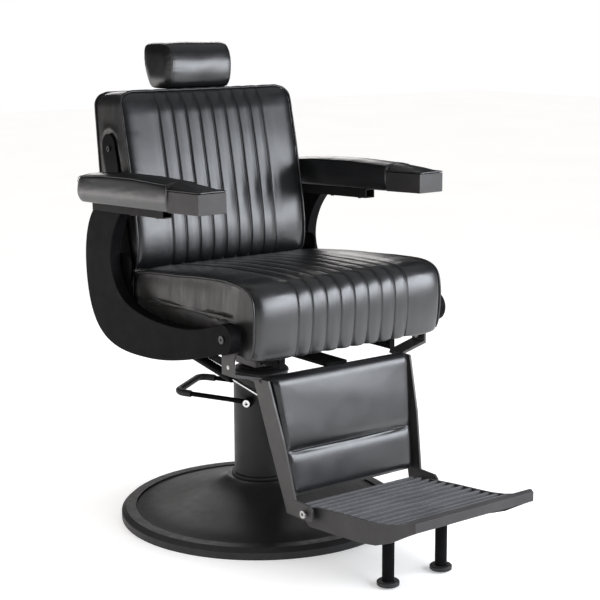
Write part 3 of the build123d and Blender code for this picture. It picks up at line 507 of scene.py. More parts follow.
def stitches(name, pts, nrm, pitch, length, radius, material, body):
    """A row of lock stitches: short rounded threads that dip at both ends. pts and nrm in mm along the seam."""
    p = np.asarray(pts, float)
    nn = np.asarray(nrm, float)
    d = np.r_[0, np.cumsum(np.linalg.norm(np.diff(p, axis=0), axis=1))]
    verts, faces = [], []
    s = pitch / 2
    while s + length < d[-1]:
        base = len(verts)
        ring = []
        for j, f in enumerate((0.0, 0.18, 0.5, 0.82, 1.0)):
            q = s + length * f
            c = np.array([np.interp(q, d, p[:, i]) for i in range(3)])
            nv = np.array([np.interp(q, d, nn[:, i]) for i in range(3)])
            nv /= np.linalg.norm(nv)
            c2 = np.array([np.interp(min(q + 0.5, d[-1]), d, p[:, i]) for i in range(3)])
            c1 = np.array([np.interp(max(q - 0.5, 0), d, p[:, i]) for i in range(3)])
            t = c2 - c1
            t /= np.linalg.norm(t)
            b = np.cross(t, nv)
            lift = (-0.9, 0.15, 0.5, 0.15, -0.9)[j] * radius
            r = radius * (0.55, 0.95, 1.0, 0.95, 0.55)[j]
            for k in range(6):
                a = 2 * math.pi * k / 6
                verts.append(c + nv * lift + r * (math.cos(a) * b + math.sin(a) * nv))
        for j in range(4):
            for k in range(6):
                k2 = (k + 1) % 6
                faces.append((base + j * 6 + k, base + j * 6 + k2, base + (j + 1) * 6 + k2, base + (j + 1) * 6 + k))
        faces.append(tuple(base + k for k in range(5, -1, -1)))
        faces.append(tuple(base + 24 + k for k in range(6)))
        s += pitch
    return make(name, verts, faces, material, body)


def columns(edge, half, border_step=7.0, per_flute=(0, 0.9, 2.4, 5, 9, 14, 20, 26, 31, 35, 37.6, 39.1)):
    """X stations: plain borders outside, close rows beside each of the nine seams between -half and half."""
    xs = []
    n = int(round((edge - half) / border_step))
    left = list(-edge + (edge - half) * np.linspace(0, 1, n + 1)[:-1])
    left += [-half - 2.6, -half - 0.9]
    xs += left
    pitch = half / 4.0
    for k in range(8):
        xs += [-half + pitch * k + v * pitch / 40.0 for v in per_flute]
    xs += [half, half + 0.9, half + 2.6]
    xs += [-v for v in left[:-2][::-1]]
    return np.array(sorted(set(round(x, 3) for x in xs)))


def flute(x, s, depth, seed, half, wander=0.5):
    """Offset along the outward normal, 0 on the crest and -depth in a seam."""
    xx = x + wander * wob(s, seed, 90.0)
    a = abs(xx)
    if a >= half:
        t = min((a - half) / 24.0, 1.0)
        return -depth * (1 - t ** 0.45) if t < 1 else 0.0
    pitch = half / 4.0
    k = math.floor((xx + half) / pitch)
    t = (xx + half - pitch * k) / pitch
    full = depth * (1 + 0.06 * wob(s, seed + k * 1.7, 70.0))
    h = (1 - abs(2 * t - 1) ** 2.1) ** 0.66
    return -full * (1 - h)


# ------------------------------------------------------------------ seat cushion
def wrap_cushion(name, profile, edge, xs, offset, cap_offset, medial, body, count, cap_rings=11, round_n=3):
    """Closed form: a panel wrapped round a profile in YZ, with a crowned panel at each end."""
    loop = chaikin(profile, round_n)
    if area2(loop) < 0:
        loop = loop[::-1]
    loop, length = resample(loop, count)
    nr = outward(loop)
    s = np.arange(count) * length / count
    verts, faces, tag = [], [], []
    nx = len(xs)
    for j in range(count):
        for i, x in enumerate(xs):
            o = offset(x, s[j], loop[j], nr[j])
            verts.append((x, loop[j][0] + nr[j][0] * o, loop[j][1] + nr[j][1] * o))
            tag.append(("w", i, j))
    for j in range(count):
        j2 = (j + 1) % count
        for i in range(nx - 1):
            faces.append((j * nx + i, j * nx + i + 1, j2 * nx + i + 1, j2 * nx + i))
    (m0, m1) = (np.array(medial[0], float), np.array(medial[1], float))
    md = m1 - m0
    for sgn, col in ((-1, 0), (1, nx - 1)):
        prev = [j * nx + col for j in range(count)]
        edge_pts = np.array([verts[i][1:] for i in prev])
        tt = np.clip(((loop - m0) @ md) / (md @ md), 0, 1)
        cen = m0 + tt[:, None] * md
        for q in (np.linspace(0, 1, cap_rings + 1)[1:] ** 1.35) * 0.965:
            cur = []
            for j in range(count):
                p = edge_pts[j] * (1 - q) + cen[j] * q
                verts.append((sgn * (edge + cap_offset(q, p, s[j], sgn)), p[0], p[1]))
                tag.append(("c", q, j))
                cur.append(len(verts) - 1)
            for j in range(count):
                j2 = (j + 1) % count
                faces.append((prev[j], prev[j2], cur[j2], cur[j]))
            prev = cur
        # close the middle: the last ring folds onto the centre line
        best = list(prev)
        faces.append(tuple(best))
    return verts, faces, tag, loop, nr, s, length


seat_profile = [(-331, 483), (-338, 487), (-345, 510), (-349, 540), (-351, 575), (-349, 600), (-344, 618), (-334, 631),
                (-316, 639), (-290, 643), (-250, 644), (-208, 643), (-150, 639), (-103, 636), (-43, 630), (17, 625),
                (80, 619), (130, 614), (150, 609), (158, 598), (160, 560), (160, 520), (157, 496), (150, 487),
                (60, 487), (-60, 487), (-200, 487), (-300, 487), (-312, 484)]
SEAT_HALF = 158.0
BACK_HALF = 154.5
SEAT_EDGE = 258.0


def seat_half(y):
    """The cushion is a little wider in front of the leg hinges."""
    return SEAT_EDGE + 8.5 * float(smoothstep(-225, -295, y))


def seat_offset(x, s, p, n):
    y, z = p
    on = 1.0 if z > 500 else float(smoothstep(483.0, 490, z)) * (1.0 if y < 0 else 0.0)
    rear = float(smoothstep(156, 120, y))
    top = on * rear
    a = abs(x)
    # the skin rises quickly from the piping, then runs nearly flat
    d = SEAT_EDGE - a
    e = min(d / 52.0, 1.0)
    height = np.interp(y, (-335, -305, -250, -175, -50, 80, 150), (18.0, 11.5, 8.5, 10.5, 14.5, 13.5, 9.0))
    crown = height * math.sqrt(max(0.0, 1 - (1 - e) ** 2.2)) * on
    crown += 1.5 * (1 - (a / SEAT_EDGE) ** 2) * on
    o = crown * (0.35 + 0.65 * rear)
    o += flute(x, s, 6.4, 2.0, SEAT_HALF) * top
    # slack beside the piping
    if d < 60 and z > 495:
        o += 0.3 * wob(s, 5.0 + math.copysign(1, x), 17.0) * math.exp(-d / 15.0) * (1 - math.exp(-d / 2.0))
    # slow unevenness of the foam
    o += 0.6 * wob(s * 0.7 + x * 0.35, 9.0, 95.0) * on
    return o


def seat_cap(q, p, s, sgn):
    y, z = p
    room = 4.6 + 2.4 * float(smoothstep(530, 560, z))
    b = seat_half(y) - SEAT_EDGE + (room - 0.25 * (seat_half(y) - SEAT_EDGE)) * (1 - (1 - q) ** 2.6)
    b += 0.45 * wob(s, 21.0 + sgn, 11.0) * math.exp(-q / 0.10)
    b += 0.5 * wob(y + 0.4 * z, 23.0 + sgn, 60.0) * q
    return b


xs = columns(SEAT_EDGE, SEAT_HALF)
verts, faces, tag, loop, nr, s_arr, length = wrap_cushion(
    "seat", seat_profile, SEAT_EDGE, xs, seat_offset, seat_cap, ((-275, 566), (90, 556)), "seat", 250, round_n=2)
verts = [(math.copysign(abs(v[0]) + (seat_half(v[1]) - SEAT_EDGE) * max(abs(v[0]) - 165, 0) / (SEAT_EDGE - 165), v[0]), v[1], v[2])
         if t[0] == "w" else v for v, t in zip(verts, tag)]
seat = make("seat_cushion_cover", verts, faces, "vinyl", "seat")


def pin_weights(o, rule):
    p = points(o) / MM
    return np.array([rule(*q) for q in p])


def seat_pin(x, y, z):
    w = 0.0
    if z < 489:
        return 1.0
    if abs(abs(x) - seat_half(y)) < 0.9 and (z < 500 or abs(np.min(np.hypot(loop[:, 0] - y, loop[:, 1] - z))) < 3.0):
        return 1.0
    if abs(x) < SEAT_HALF + 4:
        pitch = SEAT_HALF / 4.0
        k = round((x + SEAT_HALF) / pitch)
        dx = abs(x - (-SEAT_HALF + pitch * k))
        if dx < 3:
            return 1.0
        if dx < 6:
            w = 0.5
    if y > 150:
        w = max(w, 0.75)
    return w


stuff(seat, pin_weights(seat, seat_pin), 1.6, pressure=3.0, shrink=0.012)
# the side panels get a lighter copy of the same vinyl, picked by face direction: painted sheen for the light they catch
# side-on
seat.data.materials.append(M["vinyl_side_sheen"])
for f in seat.data.polygons:
    if abs(f.normal.x) > 0.72 and abs(f.center.x) > (SEAT_EDGE - 1) * MM:
        f.material_index = 1
subdivide(seat)
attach(seat, "seat")
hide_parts("seat_cushion")

for sgn, tagname in ((-1, "right"), (1, "left")):
    line = []
    for j in range(len(loop)):
        y, z = loop[j]
        line.append((j, y, z))
    # the part of the loop that shows: from the rear bottom corner over the top to the front bottom
    order = sorted(range(len(loop)), key=lambda j: j)
    zs = loop[:, 1]
    vis = [j for j in order if zs[j] > 487.6]
    # make the run contiguous
    start = next(j for j in vis if (j - 1) % len(loop) not in vis)
    run = []
    j = start
    while j in vis and len(run) < len(vis):
        run.append(j)
        j = (j + 1) % len(loop)
    pts = []
    for j in run:
        o = seat_offset(sgn * SEAT_EDGE, s_arr[j], loop[j], nr[j])
        pts.append((sgn * (seat_half(loop[j][0]) + 1.2), loop[j][0] + nr[j][0] * (o + 1.6), loop[j][1] + nr[j][1] * (o + 1.6)))
    pipe = tube("seat_piping_" + tagname, pts, 3.1, "piping", "seat", segs=10, taper=3)
    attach(pipe, "seat")

# ------------------------------------------------------------------ back cushion
rear_lo, rear_hi = np.array((304.0, 604.0)), np.array((344.2, 1031.0))
rl = float(np.linalg.norm(rear_hi - rear_lo))
ty, tz = (rear_hi - rear_lo) / rl
ny, nz = -tz, ty


def rear(w, h):
    return np.array((rear_lo[0] + w * ny + h * ty, rear_lo[1] + w * nz + h * tz))


BE = 249.0
A = np.array((190.0, 600.0))
TOPB = np.array((267.0, 906.0))
front_line = np.array([(182, 602), (163, 609), (149, 627), (143, 658), (143, 700), (148, 738), (157, 790), (169, 851),
                       (181, 908), (193, 960), (202, 1000), (209, 1022), (220, 1040)], float)
fl = front_line.copy()
for _ in range(2):
    mid = [fl[0]]
    for a, b in zip(fl, fl[1:]):
        mid += [a * 0.75 + b * 0.25, a * 0.25 + b * 0.75]
    mid.append(fl[-1])
    fl = np.array(mid)
ROWS = 74
F, flen = resample(fl, ROWS, closed=False)
FN = outward(F, closed=False)
if FN[ROWS // 2][0] > 0:
    FN = -FN
fs = np.linspace(0, flen, ROWS)
R_top = 34.0
bx = columns(BE, BACK_HALF)
NXB = len(bx)


def half_width(s):
    d = flen - s
    if d >= R_top:
        return BE
    return BE - R_top + math.sqrt(max(0.0, R_top ** 2 - (R_top - d) ** 2))


def squeeze(x, s):
    a = abs(x)
    c = BACK_HALF + 2.6
    if a <= c:
        return x
    w = half_width(s)
    return math.copysign(c + (a - c) * (w - c) / (BE - c), x)


def back_front(x, j):
    s = fs[j]
    w = half_width(s)
    a = abs(x)
    xx = squeeze(x, s)
    de = min(w - abs(xx), flen - s)            # distance to the piped edge
    o = 0.0
    e = 1 - de / 30.0
    if e > 0:
        o -= 8.5 * (1 - math.sqrt(max(0.0, 1 - min(e, 1.0) ** 2)))
    o += 8.5 * (1 - (a / BE) ** 2.4) * float(smoothstep(0, 60, flen - s)) * (0.45 + 0.55 * float(smoothstep(0, 60, s)))
    # a flute runs the full height and dies into the piping at the top
    k = (float(smoothstep(0, 16, flen - s)) * 0.65 + 0.35) * float(smoothstep(8, 34, s))
    o += flute(x, s, 7.0, 31.0, BACK_HALF) * k
    o += 0.5 * wob(s * 1.0 + 40, 33.0 + math.copysign(1, x), 12.0) * math.exp(-max(w - abs(xx), 0) / 14.0)
    o += 0.7 * wob(s * 0.8 + x * 0.3, 35.0, 95.0)
    return np.array((xx, F[j][0] + FN[j][0] * o, F[j][1] + FN[j][1] * o))


R = np.array([rear(1.5, 3 + (rl - 5) * (fs[j] / flen)) for j in range(ROWS)])
verts, faces = [], []
front_id = {}
for j in range(ROWS):
    for i, x in enumerate(bx):
        front_id[i, j] = len(verts)
        verts.append(back_front(x, j))
for j in range(ROWS - 1):
    for i in range(NXB - 1):
        faces.append((front_id[i, j], front_id[i + 1, j], front_id[i + 1, j + 1], front_id[i, j + 1]))
rear_id = {}
for j in range(ROWS):
    for i, x in enumerate(bx):
        rear_id[i, j] = len(verts)
        verts.append(np.array((squeeze(x, fs[j]) * 0.988, R[j][0], R[j][1])))
for j in range(ROWS - 1):
    for i in range(NXB - 1):
        faces.append((rear_id[i, j], rear_id[i, j + 1], rear_id[i + 1, j + 1], rear_id[i + 1, j]))
ring = [(0, j) for j in range(ROWS)] + [(i, ROWS - 1) for i in range(1, NXB)] + [(NXB - 1, j) for j in range(ROWS - 2, -1, -1)]
ring += [(i, 0) for i in range(NXB - 2, 0, -1)]
GUSSET = 26
layers = [[front_id[k] for k in ring]]
ring_pts_f = np.array([verts[front_id[k]] for k in ring])
ring_pts_r = np.array([verts[rear_id[k]] for k in ring])
centre = np.array((0.0, 0.0, 820.0))
out_dir = []
for idx, (i, j) in enumerate(ring):
    if j == 0 and 0 < i < NXB - 1:
        out_dir.append(np.array((0, 0, -1.0)))
        continue
    p0 = ring_pts_f[(idx - 1) % len(ring)]
    p1 = ring_pts_f[(idx + 1) % len(ring)]
    t = p1 - p0
    v = np.array((-t[2], 0, t[0]))
    if (ring_pts_f[idx] - centre) @ v < 0:
        v = -v
    if j == 0:
        v = np.array((math.copysign(1, ring_pts_f[idx][0]), 0, 0))
    out_dir.append(v / np.linalg.norm(v))
ring_len = np.r_[0, np.cumsum(np.linalg.norm(np.diff(ring_pts_f, axis=0), axis=1))]
for g in range(1, GUSSET):
    f = g / GUSSET
    cur = []
    for idx, (i, j) in enumerate(ring):
        p = ring_pts_f[idx] * (1 - f) + ring_pts_r[idx] * f
        side = abs(out_dir[idx][0])
        b = (4.0 * side + 4.0 * (1 - side)) * math.sin(math.pi * min(max(f, 0), 1)) ** 0.55
        if j == 0 and 0 < i < NXB - 1:
            b = 1.0
        b += 0.5 * wob(ring_len[idx], 41.0, 12.0) * (math.exp(-f * 9) + math.exp(-(1 - f) * 9))
        # the side bar lies in a dent
        if side > 0.8:
            q = p[1:]
            d = TOPB - A
            t = np.clip(((q - A) @ d) / (d @ d), 0, 1)
            gap = np.linalg.norm(q - (A + t * d)) - (26 + 4 * t)
            m = float(smoothstep(-1.5, 15, gap))
            rim = math.exp(-((gap - 12) / 8.0) ** 2)
            b = b * m + 0.4 * (1 - m) + 2.2 * rim + 0.7 * wob(ring_len[idx] + f * 60, 43.0, 15.0) * rim
            p = np.array((p[0], p[1], p[2]))
        # the headrest post goes in through a dimple at the rear of the top
        if side < 0.3 and j == ROWS - 1 and abs(p[0]) < 60:
            yy = p[1]
            b -= 7.0 * math.exp(-((max(abs(p[0]) - 20, 0)) / 12.0) ** 2) * math.exp(-((yy - 323) / 16.0) ** 2)
        p = p + out_dir[idx] * b
        cur.append(len(verts))
        verts.append(p)
    layers.append(cur)
layers.append([rear_id[k] for k in ring])
for a, b in zip(layers, layers[1:]):
    for k in range(len(ring)):
        k2 = (k + 1) % len(ring)
        faces.append((a[k], b[k], b[k2], a[k2]))
back = make("back_cushion_cover", verts, faces, "vinyl", "back")


def back_pin(x, y, z):
    a = abs(x)
    q = np.array((y, z))
    w = 0.0
    t = (z - rear_lo[1]) / tz
    if (y - (rear_lo[0] + t * ty)) > -6:
        return 1.0
    d = TOPB - A
    u = np.clip(((q - A) @ d) / (d @ d), 0, 1)
    if a > BE - 2 and np.linalg.norm(q - (A + u * d)) < 44:
        return 1.0
    if a < BACK_HALF + 4 and y < 260:
        k = round((x + BACK_HALF) / (BACK_HALF / 4.0))
        dx = abs(x - (-BACK_HALF + BACK_HALF / 4.0 * k))
        if dx < 3:
            return 1.0
        if dx < 6:
            w = 0.5
    if z < 620:
        w = max(w, 0.75)
    return w


bp_pin = pin_weights(back, back_pin)
edge_pts = np.array([ring_pts_f[k] for k in range(len(ring))])
bp_all = points(back) / MM
for k in range(0, len(edge_pts)):
    dd = np.linalg.norm(bp_all - edge_pts[k], axis=1)
    bp_pin[dd < 2.0] = 1.0
stuff(back, bp_pin, 1.6, pressure=3.0, shrink=0.012)
# side faces of the back take the lighter copy of the vinyl: painted sheen
back.data.materials.append(M["vinyl_side_sheen"])
for f in back.data.polygons:
    if abs(f.normal.x) > 0.6 and abs(f.center.x) > (BE - 4) * MM:
        f.material_index = 1
subdivide(back)
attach(back, "back")
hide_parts("back_cushion")

# piping round the front panel and round the rear edge
idx_l = [k for k in range(len(ring)) if not (ring[k][1] == 0 and 0 < ring[k][0] < NXB - 1)]
order = [k for k in idx_l]
pf, pr = [], []
for k in order:
    i, j = ring[k]
    nf = np.array((0, FN[j][0], FN[j][1]))
    pf.append(ring_pts_f[k] + out_dir[k] * 1.6 + nf * 1.4)
    pr.append(ring_pts_r[k] + out_dir[k] * 1.2)
# start at the right side's bottom, go up, over the top and down the left side
pf, pr = np.array(pf), np.array(pr)
pipe_pts, _ = resample(pf, 300, closed=False)
pipe = tube("back_piping_front", pipe_pts, 3.1, "piping", "back", segs=10, taper=3)
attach(pipe, "back")
pipe_pts, _ = resample(pr, 260, closed=False)
pipe = tube("back_piping_rear", pipe_pts, 2.8, "piping", "back", segs=10, taper=3)
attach(pipe, "back")

# upholstered rear panel over the back board
PW, PH0, PH1 = 238.0, 8.0, rl - 6
cols_u = np.linspace(-1, 1, 49)
rows_v = np.linspace(0, 1, 45)
verts, faces = [], []
pid = {}


def rear_panel(u, v, depth):
    x = PW * u
    h = PH0 + (PH1 - PH0) * v
    r = 28.0
    dx, dv = PW - abs(x), min(h - PH0, PH1 - h)
    if dx < r and dv < r:                     # rounded corners
        cx, ch = PW - r, (PH1 - r if v > 0.5 else PH0 + r)
        ax, ah = abs(x) - cx, abs(h - ch)
        m = max(ax, ah)
        q = math.hypot(ax, ah)
        if q > 0:
            ax, ah = ax * m / q, ah * m / q
        x = math.copysign(cx + ax, x)
        h = ch + (ah if v > 0.5 else -ah)
    e = min(min(PW - abs(x), PH1 - h, h - PH0) / 22.0, 1.0)
    pillow = 4.5 * (1 - (1 - max(e, 0)) ** 2) + 2.0 * (1 - u * u) * (1 - (2 * v - 1) ** 2)
    pillow += 0.5 * wob(x + 0.6 * h, 51.0, 70.0)
    p = rear(depth - pillow if depth < 5 else depth, h)
    return np.array((x, p[0], p[1]))


for layer, depth in ((0, 3.6), (1, 11.8)):
    for b_, v in enumerate(rows_v):
        for a_, u in enumerate(cols_u):
            pid[layer, a_, b_] = len(verts)
            verts.append(rear_panel(u, v, depth))
na, nb = len(cols_u), len(rows_v)
for layer in (0, 1):
    for b_ in range(nb - 1):
        for a_ in range(na - 1):
            faces.append((pid[layer, a_, b_], pid[layer, a_ + 1, b_], pid[layer, a_ + 1, b_ + 1], pid[layer, a_, b_ + 1]))
edge_ring = [(a_, 0) for a_ in range(na)] + [(na - 1, b_) for b_ in range(1, nb)] + [(a_, nb - 1) for a_ in range(na - 2, -1, -1)]
edge_ring += [(0, b_) for b_ in range(nb - 2, 0, -1)]
for k in range(len(edge_ring)):
    a_, b_ = edge_ring[k], edge_ring[(k + 1) % len(edge_ring)]
    faces.append((pid[0, a_[0], a_[1]], pid[0, b_[0], b_[1]], pid[1, b_[0], b_[1]], pid[1, a_[0], a_[1]]))
# the rear panel also takes the lighter side vinyl with its painted sheen
panel = make("back_rear_panel", verts, faces, "vinyl_side_sheen", "back")
subdivide(panel)
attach(panel, "back")
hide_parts("back_board")

# ------------------------------------------------------------------ headrest
head_profile = [(258, 1037), (243, 1046), (235, 1068), (232, 1094), (234, 1114), (241, 1134), (253, 1146),
                (274, 1151), (348, 1150), (364, 1145), (371, 1135), (372, 1094), (351, 1049), (339, 1037.5), (300, 1036.5)]
HE = 87.0
hx = np.array([-HE, -HE + 1.2, -HE + 3, -HE + 6] + list(np.linspace(-HE + 11, HE - 11, 25)) + [HE - 6, HE - 3, HE - 1.2, HE])


def head_offset(x, s, p, n):
    a = abs(x)
    d = HE - a
    o = 0.0
    if d < 14:
        o -= 3.6 * (1 - d / 14.0) ** 2.2
    o += 1.6 * (1 - (a / HE) ** 2)
    live = 1.0 if p[1] > 1042 else 0.2
    o += (0.55 * wob(s, 61.0 + math.copysign(1, x), 7.0) * math.exp(-d / 7.0) + 0.5 * wob(s * 0.8 + x * 0.8, 63.0, 45.0)) * live
    return o if p[1] > 1040 else min(o, 0.0) * 0.5


def head_cap(q, p, s, sgn):
    b = 8.5 * math.sin(min(q / 0.55, 1.0) * math.pi / 2) ** 0.75 - 0.0
    b += 0.45 * wob(s, 65.0 + sgn, 7.0) * math.exp(-q / 0.16)
    return b


verts, faces, tag, hloop, hn, hs, hlen = wrap_cushion(
    "headrest", head_profile, HE, hx, head_offset, head_cap, ((292, 1096), (322, 1098)), "headrest", 120, cap_rings=10, round_n=3)
head = make("headrest_cover", verts, faces, "vinyl", "headrest")


def head_pin(x, y, z):
    if z < 1039.5:
        return 1.0
    if HE - 1.5 < abs(x) < HE + 1.5:
        return 1.0
    return 0.0


stuff(head, pin_weights(head, head_pin), 1.5, pressure=3.5, shrink=0.01)
subdivide(head)
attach(head, "headrest")
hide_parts("headrest_pad")
for sgn, tagname in ((-1, "right"), (1, "left")):
    for k, dx in enumerate((-4.0,)):
        pts, nrm = [], []
        for j in list(range(len(hloop))) + [0]:
            if hloop[j][1] < 1042:
                continue
            x = sgn * (HE + dx)
            o = head_offset(x, hs[j], hloop[j], hn[j]) + 0.25
            pts.append((x, hloop[j][0] + hn[j][0] * o, hloop[j][1] + hn[j][1] * o))
            nrm.append((0, hn[j][0], hn[j][1]))
        pts, nrm = np.array(pts), np.array(nrm)
        cut = np.argmax(np.linalg.norm(np.diff(pts, axis=0), axis=1)) + 1
        if np.linalg.norm(pts[cut] - pts[cut - 1]) > 12:
            pts, nrm = np.roll(pts, -cut, axis=0), np.roll(nrm, -cut, axis=0)
        row = stitches(f"headrest_stitch_{tagname}_{k}", pts, nrm, 4.6, 3.3, 0.42, "thread", "headrest")
        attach(row, "headrest")

# ------------------------------------------------------------------ arm pads
ARM_SLOPE = 0.035


def tube_top(y):
    return 779 + ARM_SLOPE * (256 - y)


pad_y = [268, 262, 250, 225, 190, 150, 100, 50, 0, -50, -100, -125, -140, -144.5, -146.2, -147.2, -160, -185, -210, -235, -255, -266, -268]
top_pts = np.array([(-268, 849.5), (-225, 856), (-140, 861.5), (0, 863), (140, 858), (230, 850), (256, 842), (270, 818)])


def pad_section(y, sx):
    """A closed section in XZ: bottom, crowned sides, seam at the top edges, crowned top."""
    t = np.interp(y, top_pts[:, 0], top_pts[:, 1])
    if y > 232:                                   # the rear end rolls down
        k = (y - 232) / 38.0
        t = 850 - 44 * (1 - math.sqrt(max(0.0, 1 - k * k)))
    lift = float(smoothstep(-143.5, -147.0, y))
    b = tube_top(y) * (1 - lift) + (841.8 + (845.8 - 841.8) * (-145.6 - y) / 122.4 + 0.3) * lift
    if y > 244:                                   # and the bottom rolls up
        k = (y - 244) / 26.0
        b += 16 * (1 - math.sqrt(max(0.0, 1 - k * k)))
    w = 36.6
    if y > 238:
        k = (y - 238) / 33.0
        w -= 12 * (1 - math.sqrt(max(0.0, 1 - k * k)))
    if y < -147:
        w = 35.6 + 0.3 * (y + 268) / 120
    h = t - b
    thin = h < 30
    crown = 7.0 if not thin else h - 1.6
    edge_z = t - crown
    pts = []
    nb_, ns_, nt_ = 7, 12, 17
    for i in range(nb_):                          # bottom, from the outside in
        f = i / (nb_ - 1)
        pts.append((w * 0.86 * (1 - 2 * f), b + 0.0))
    bulge = 3.4 if not thin else 0.5
    for i in range(1, ns_):                       # inner side, upwards
        f = i / ns_
        xb = -w * (0.86 + 0.14 * math.sin(min(f * 2.2, 1.0) * math.pi / 2)) - bulge * math.sin(math.pi * min(f * 0.94 + 0.03, 1)) ** 0.8
        pts.append((xb, b + (edge_z - b) * f))
    for i in range(nt_):                          # top, outwards
        f = i / (nt_ - 1) * 2 - 1
        pts.append((w * f, edge_z + crown * (1 - abs(f) ** 2.6) ** 0.8))
    for i in range(ns_ - 1, 0, -1):               # outer side, downwards
        f = i / ns_
        xb = w * (0.86 + 0.14 * math.sin(min(f * 2.2, 1.0) * math.pi / 2)) + bulge * math.sin(math.pi * min(f * 0.94 + 0.03, 1)) ** 0.8
        pts.append((xb, b + (edge_z - b) * f))
    return np.array(pts), edge_z


for sx, side in ((-1, "right"), (1, "left")):
    ys = []
    for a, b in zip(pad_y, pad_y[1:]):
        n = max(1, int(abs(a - b) / 8.0))
        ys += list(np.linspace(a, b, n + 1)[:-1])
    ys.append(pad_y[-1])
    verts, faces, rows, seam_in, seam_out = [], [], [], [], []
    for y in ys:
        sec, ez = pad_section(y, sx)
        row = []
        for i, (x, z) in enumerate(sec):
            near = 0.25 * wob(y, 71.0 + sx + i * 0.1, 40.0)
            amp = 1.0 if z > tube_top(y) + 6 and y > -150 else 0.0
            xx = sx * 313 + (x + math.copysign(near * amp, x))
            row.append(len(verts))
            verts.append((xx, y, z + (0.4 * wob(y + x, 73.0, 40.0) * amp if z > ez else 0)))
        rows.append(row)
        seam_out.append((sx * 313 + 36.6 * 1, y, ez))
        seam_in.append((sx * 313 - 36.6, y, ez))
    m = len(rows[0])
    for a, b in zip(rows, rows[1:]):
        for i in range(m):
            i2 = (i + 1) % m
            faces.append((a[i], a[i2], b[i2], b[i]))
    faces.append(tuple(rows[0][::-1]))
    faces.append(tuple(rows[-1]))
    pad = make("arm_pad_cover_" + side, verts, faces, "vinyl", "seat")

    def arm_pin(x, y, z, sx=sx):
        if z < tube_top(y) + 1.5 or y < -143:
            return 1.0
        sec_t = np.interp(y, top_pts[:, 0], top_pts[:, 1])
        if abs(abs(abs(x) - 313) - 36.6) < 0.9 and abs(z - (sec_t - 7)) < 1.2:
            return 1.0
        return 0.0

    stuff(pad, pin_weights(pad, arm_pin), 1.2, pressure=3.0, shrink=0.012)
    subdivide(pad)
    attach(pad, "seat")
    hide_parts("arm_pad_" + side)
    for nm, line in (("outer", seam_out), ("inner", seam_in)):
        pts = []
        for (x, y, z) in line:
            if y > 262:
                continue
            w = 36.6
            if y > 238:
                k = (y - 238) / 33.0
                w -= 12 * (1 - math.sqrt(max(0.0, 1 - k * k)))
            if y < -147:
                w = 35.6 + 0.3 * (y + 268) / 120
            off = 1 if nm == "outer" else -1
            pts.append((sx * 313 + off * (w + 0.9), y, z + 0.4))
        welt = tube(f"arm_welt_{side}_{nm}", pts, 1.5, "piping", "seat", segs=8, taper=3)
        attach(welt, "seat")

# ------------------------------------------------------------------ leg pad
lp_top, lp_bot = np.array((-328.0, 438.0)), np.array((-376.0, 168.0))
ll = float(np.linalg.norm(lp_top - lp_bot))
ly, lz = (lp_top - lp_bot) / ll
SEAM_H = (269.0 - 168.0) / lz


def pad_point(x, h, depth):
    return np.array((x, lp_bot[0] + h * ly + depth * lz, lp_bot[1] + h * lz - depth * ly))


def leg_half(h):
    return 176 + (198 - 176) * h / ll


rows_h = []
for a, b, n in ((0, 3, 3), (3, 12, 4), (12, SEAM_H - 12, 13), (SEAM_H - 12, SEAM_H - 1.2, 6), (SEAM_H - 1.2, SEAM_H, 1),
                (SEAM_H, SEAM_H + 1.2, 1), (SEAM_H + 1.2, SEAM_H + 12, 6), (SEAM_H + 12, ll - 12, 24), (ll - 12, ll - 3, 4),
                (ll - 3, ll, 3)):
    rows_h += list(np.linspace(a, b, n + 1)[:-1])
rows_h.append(ll)
cols_c = list(np.linspace(-1, -0.985, 3)[:-1]) + list(np.linspace(-0.985, -0.93, 5)[:-1]) + list(np.linspace(-0.93, 0.93, 45)) + \
    list(np.linspace(0.93, 0.985, 5)[1:]) + list(np.linspace(0.985, 1, 3)[1:])
verts, faces, lid = [], [], {}


def leg_depth(c, h):
    w = leg_half(h)
    dx = (1 - abs(c)) * w
    dt, db = ll - h, h
    ds = abs(h - SEAM_H)
    e = 1.0
    for d, r in ((dx, 20.0), (dt, 22.0), (db, 20.0)):
        t = min(d / r, 1.0)
        e = min(e, 1.0) * (0.30 + 0.70 * math.sqrt(max(0.0, 1 - (1 - t) ** 2)))
    dep = 25.0 * (1 - e)
    dep += 10.5 * math.exp(-ds / 7.0) * (0.25 + 0.75 * min(dx / 25.0, 1.0))
    up_ = h > SEAM_H
    mid = (h - SEAM_H) / (ll - SEAM_H) if up_ else h / SEAM_H
    dep -= (2.2 if up_ else 1.6) * (1 - c * c) * max(0.0, math.sin(math.pi * mid))
    dep += 0.55 * wob(h * 0.9 + c * 40, 81.0, 55.0)
    dep += 0.5 * wob(c * w, 83.0 + (1 if up_ else 0), 14.0) * math.exp(-ds / 10.0)
    dep += 0.4 * wob(h, 85.0 + math.copysign(1, c), 12.0) * math.exp(-dx / 12.0)
    return dep


nc, nh = len(cols_c), len(rows_h)
for layer in (0, 1):
    for b_, h in enumerate(rows_h):
        for a_, c in enumerate(cols_c):
            lid[layer, a_, b_] = len(verts)
            x = c * leg_half(h)
            r = 10.0                                  # rounded corners in the panel's plane
            w = leg_half(h)
            dx, dh = w - abs(x), min(h, ll - h)
            hh = h
            if dx < r and dh < r:
                cx, ch = w - r, (ll - r if h > ll / 2 else r)
                ax, ah = abs(x) - cx, abs(h - ch)
                m, q = max(ax, ah), math.hypot(ax, ah)
                if q > 0:
                    ax, ah = ax * m / q, ah * m / q
                x = math.copysign(cx + ax, x)
                hh = ch + (ah if h > ll / 2 else -ah)
            verts.append(pad_point(x, hh, leg_depth(c, h) if layer == 0 else 26.0))
for layer in (0, 1):
    for b_ in range(nh - 1):
        for a_ in range(nc - 1):
            faces.append((lid[layer, a_, b_], lid[layer, a_ + 1, b_], lid[layer, a_ + 1, b_ + 1], lid[layer, a_, b_ + 1]))
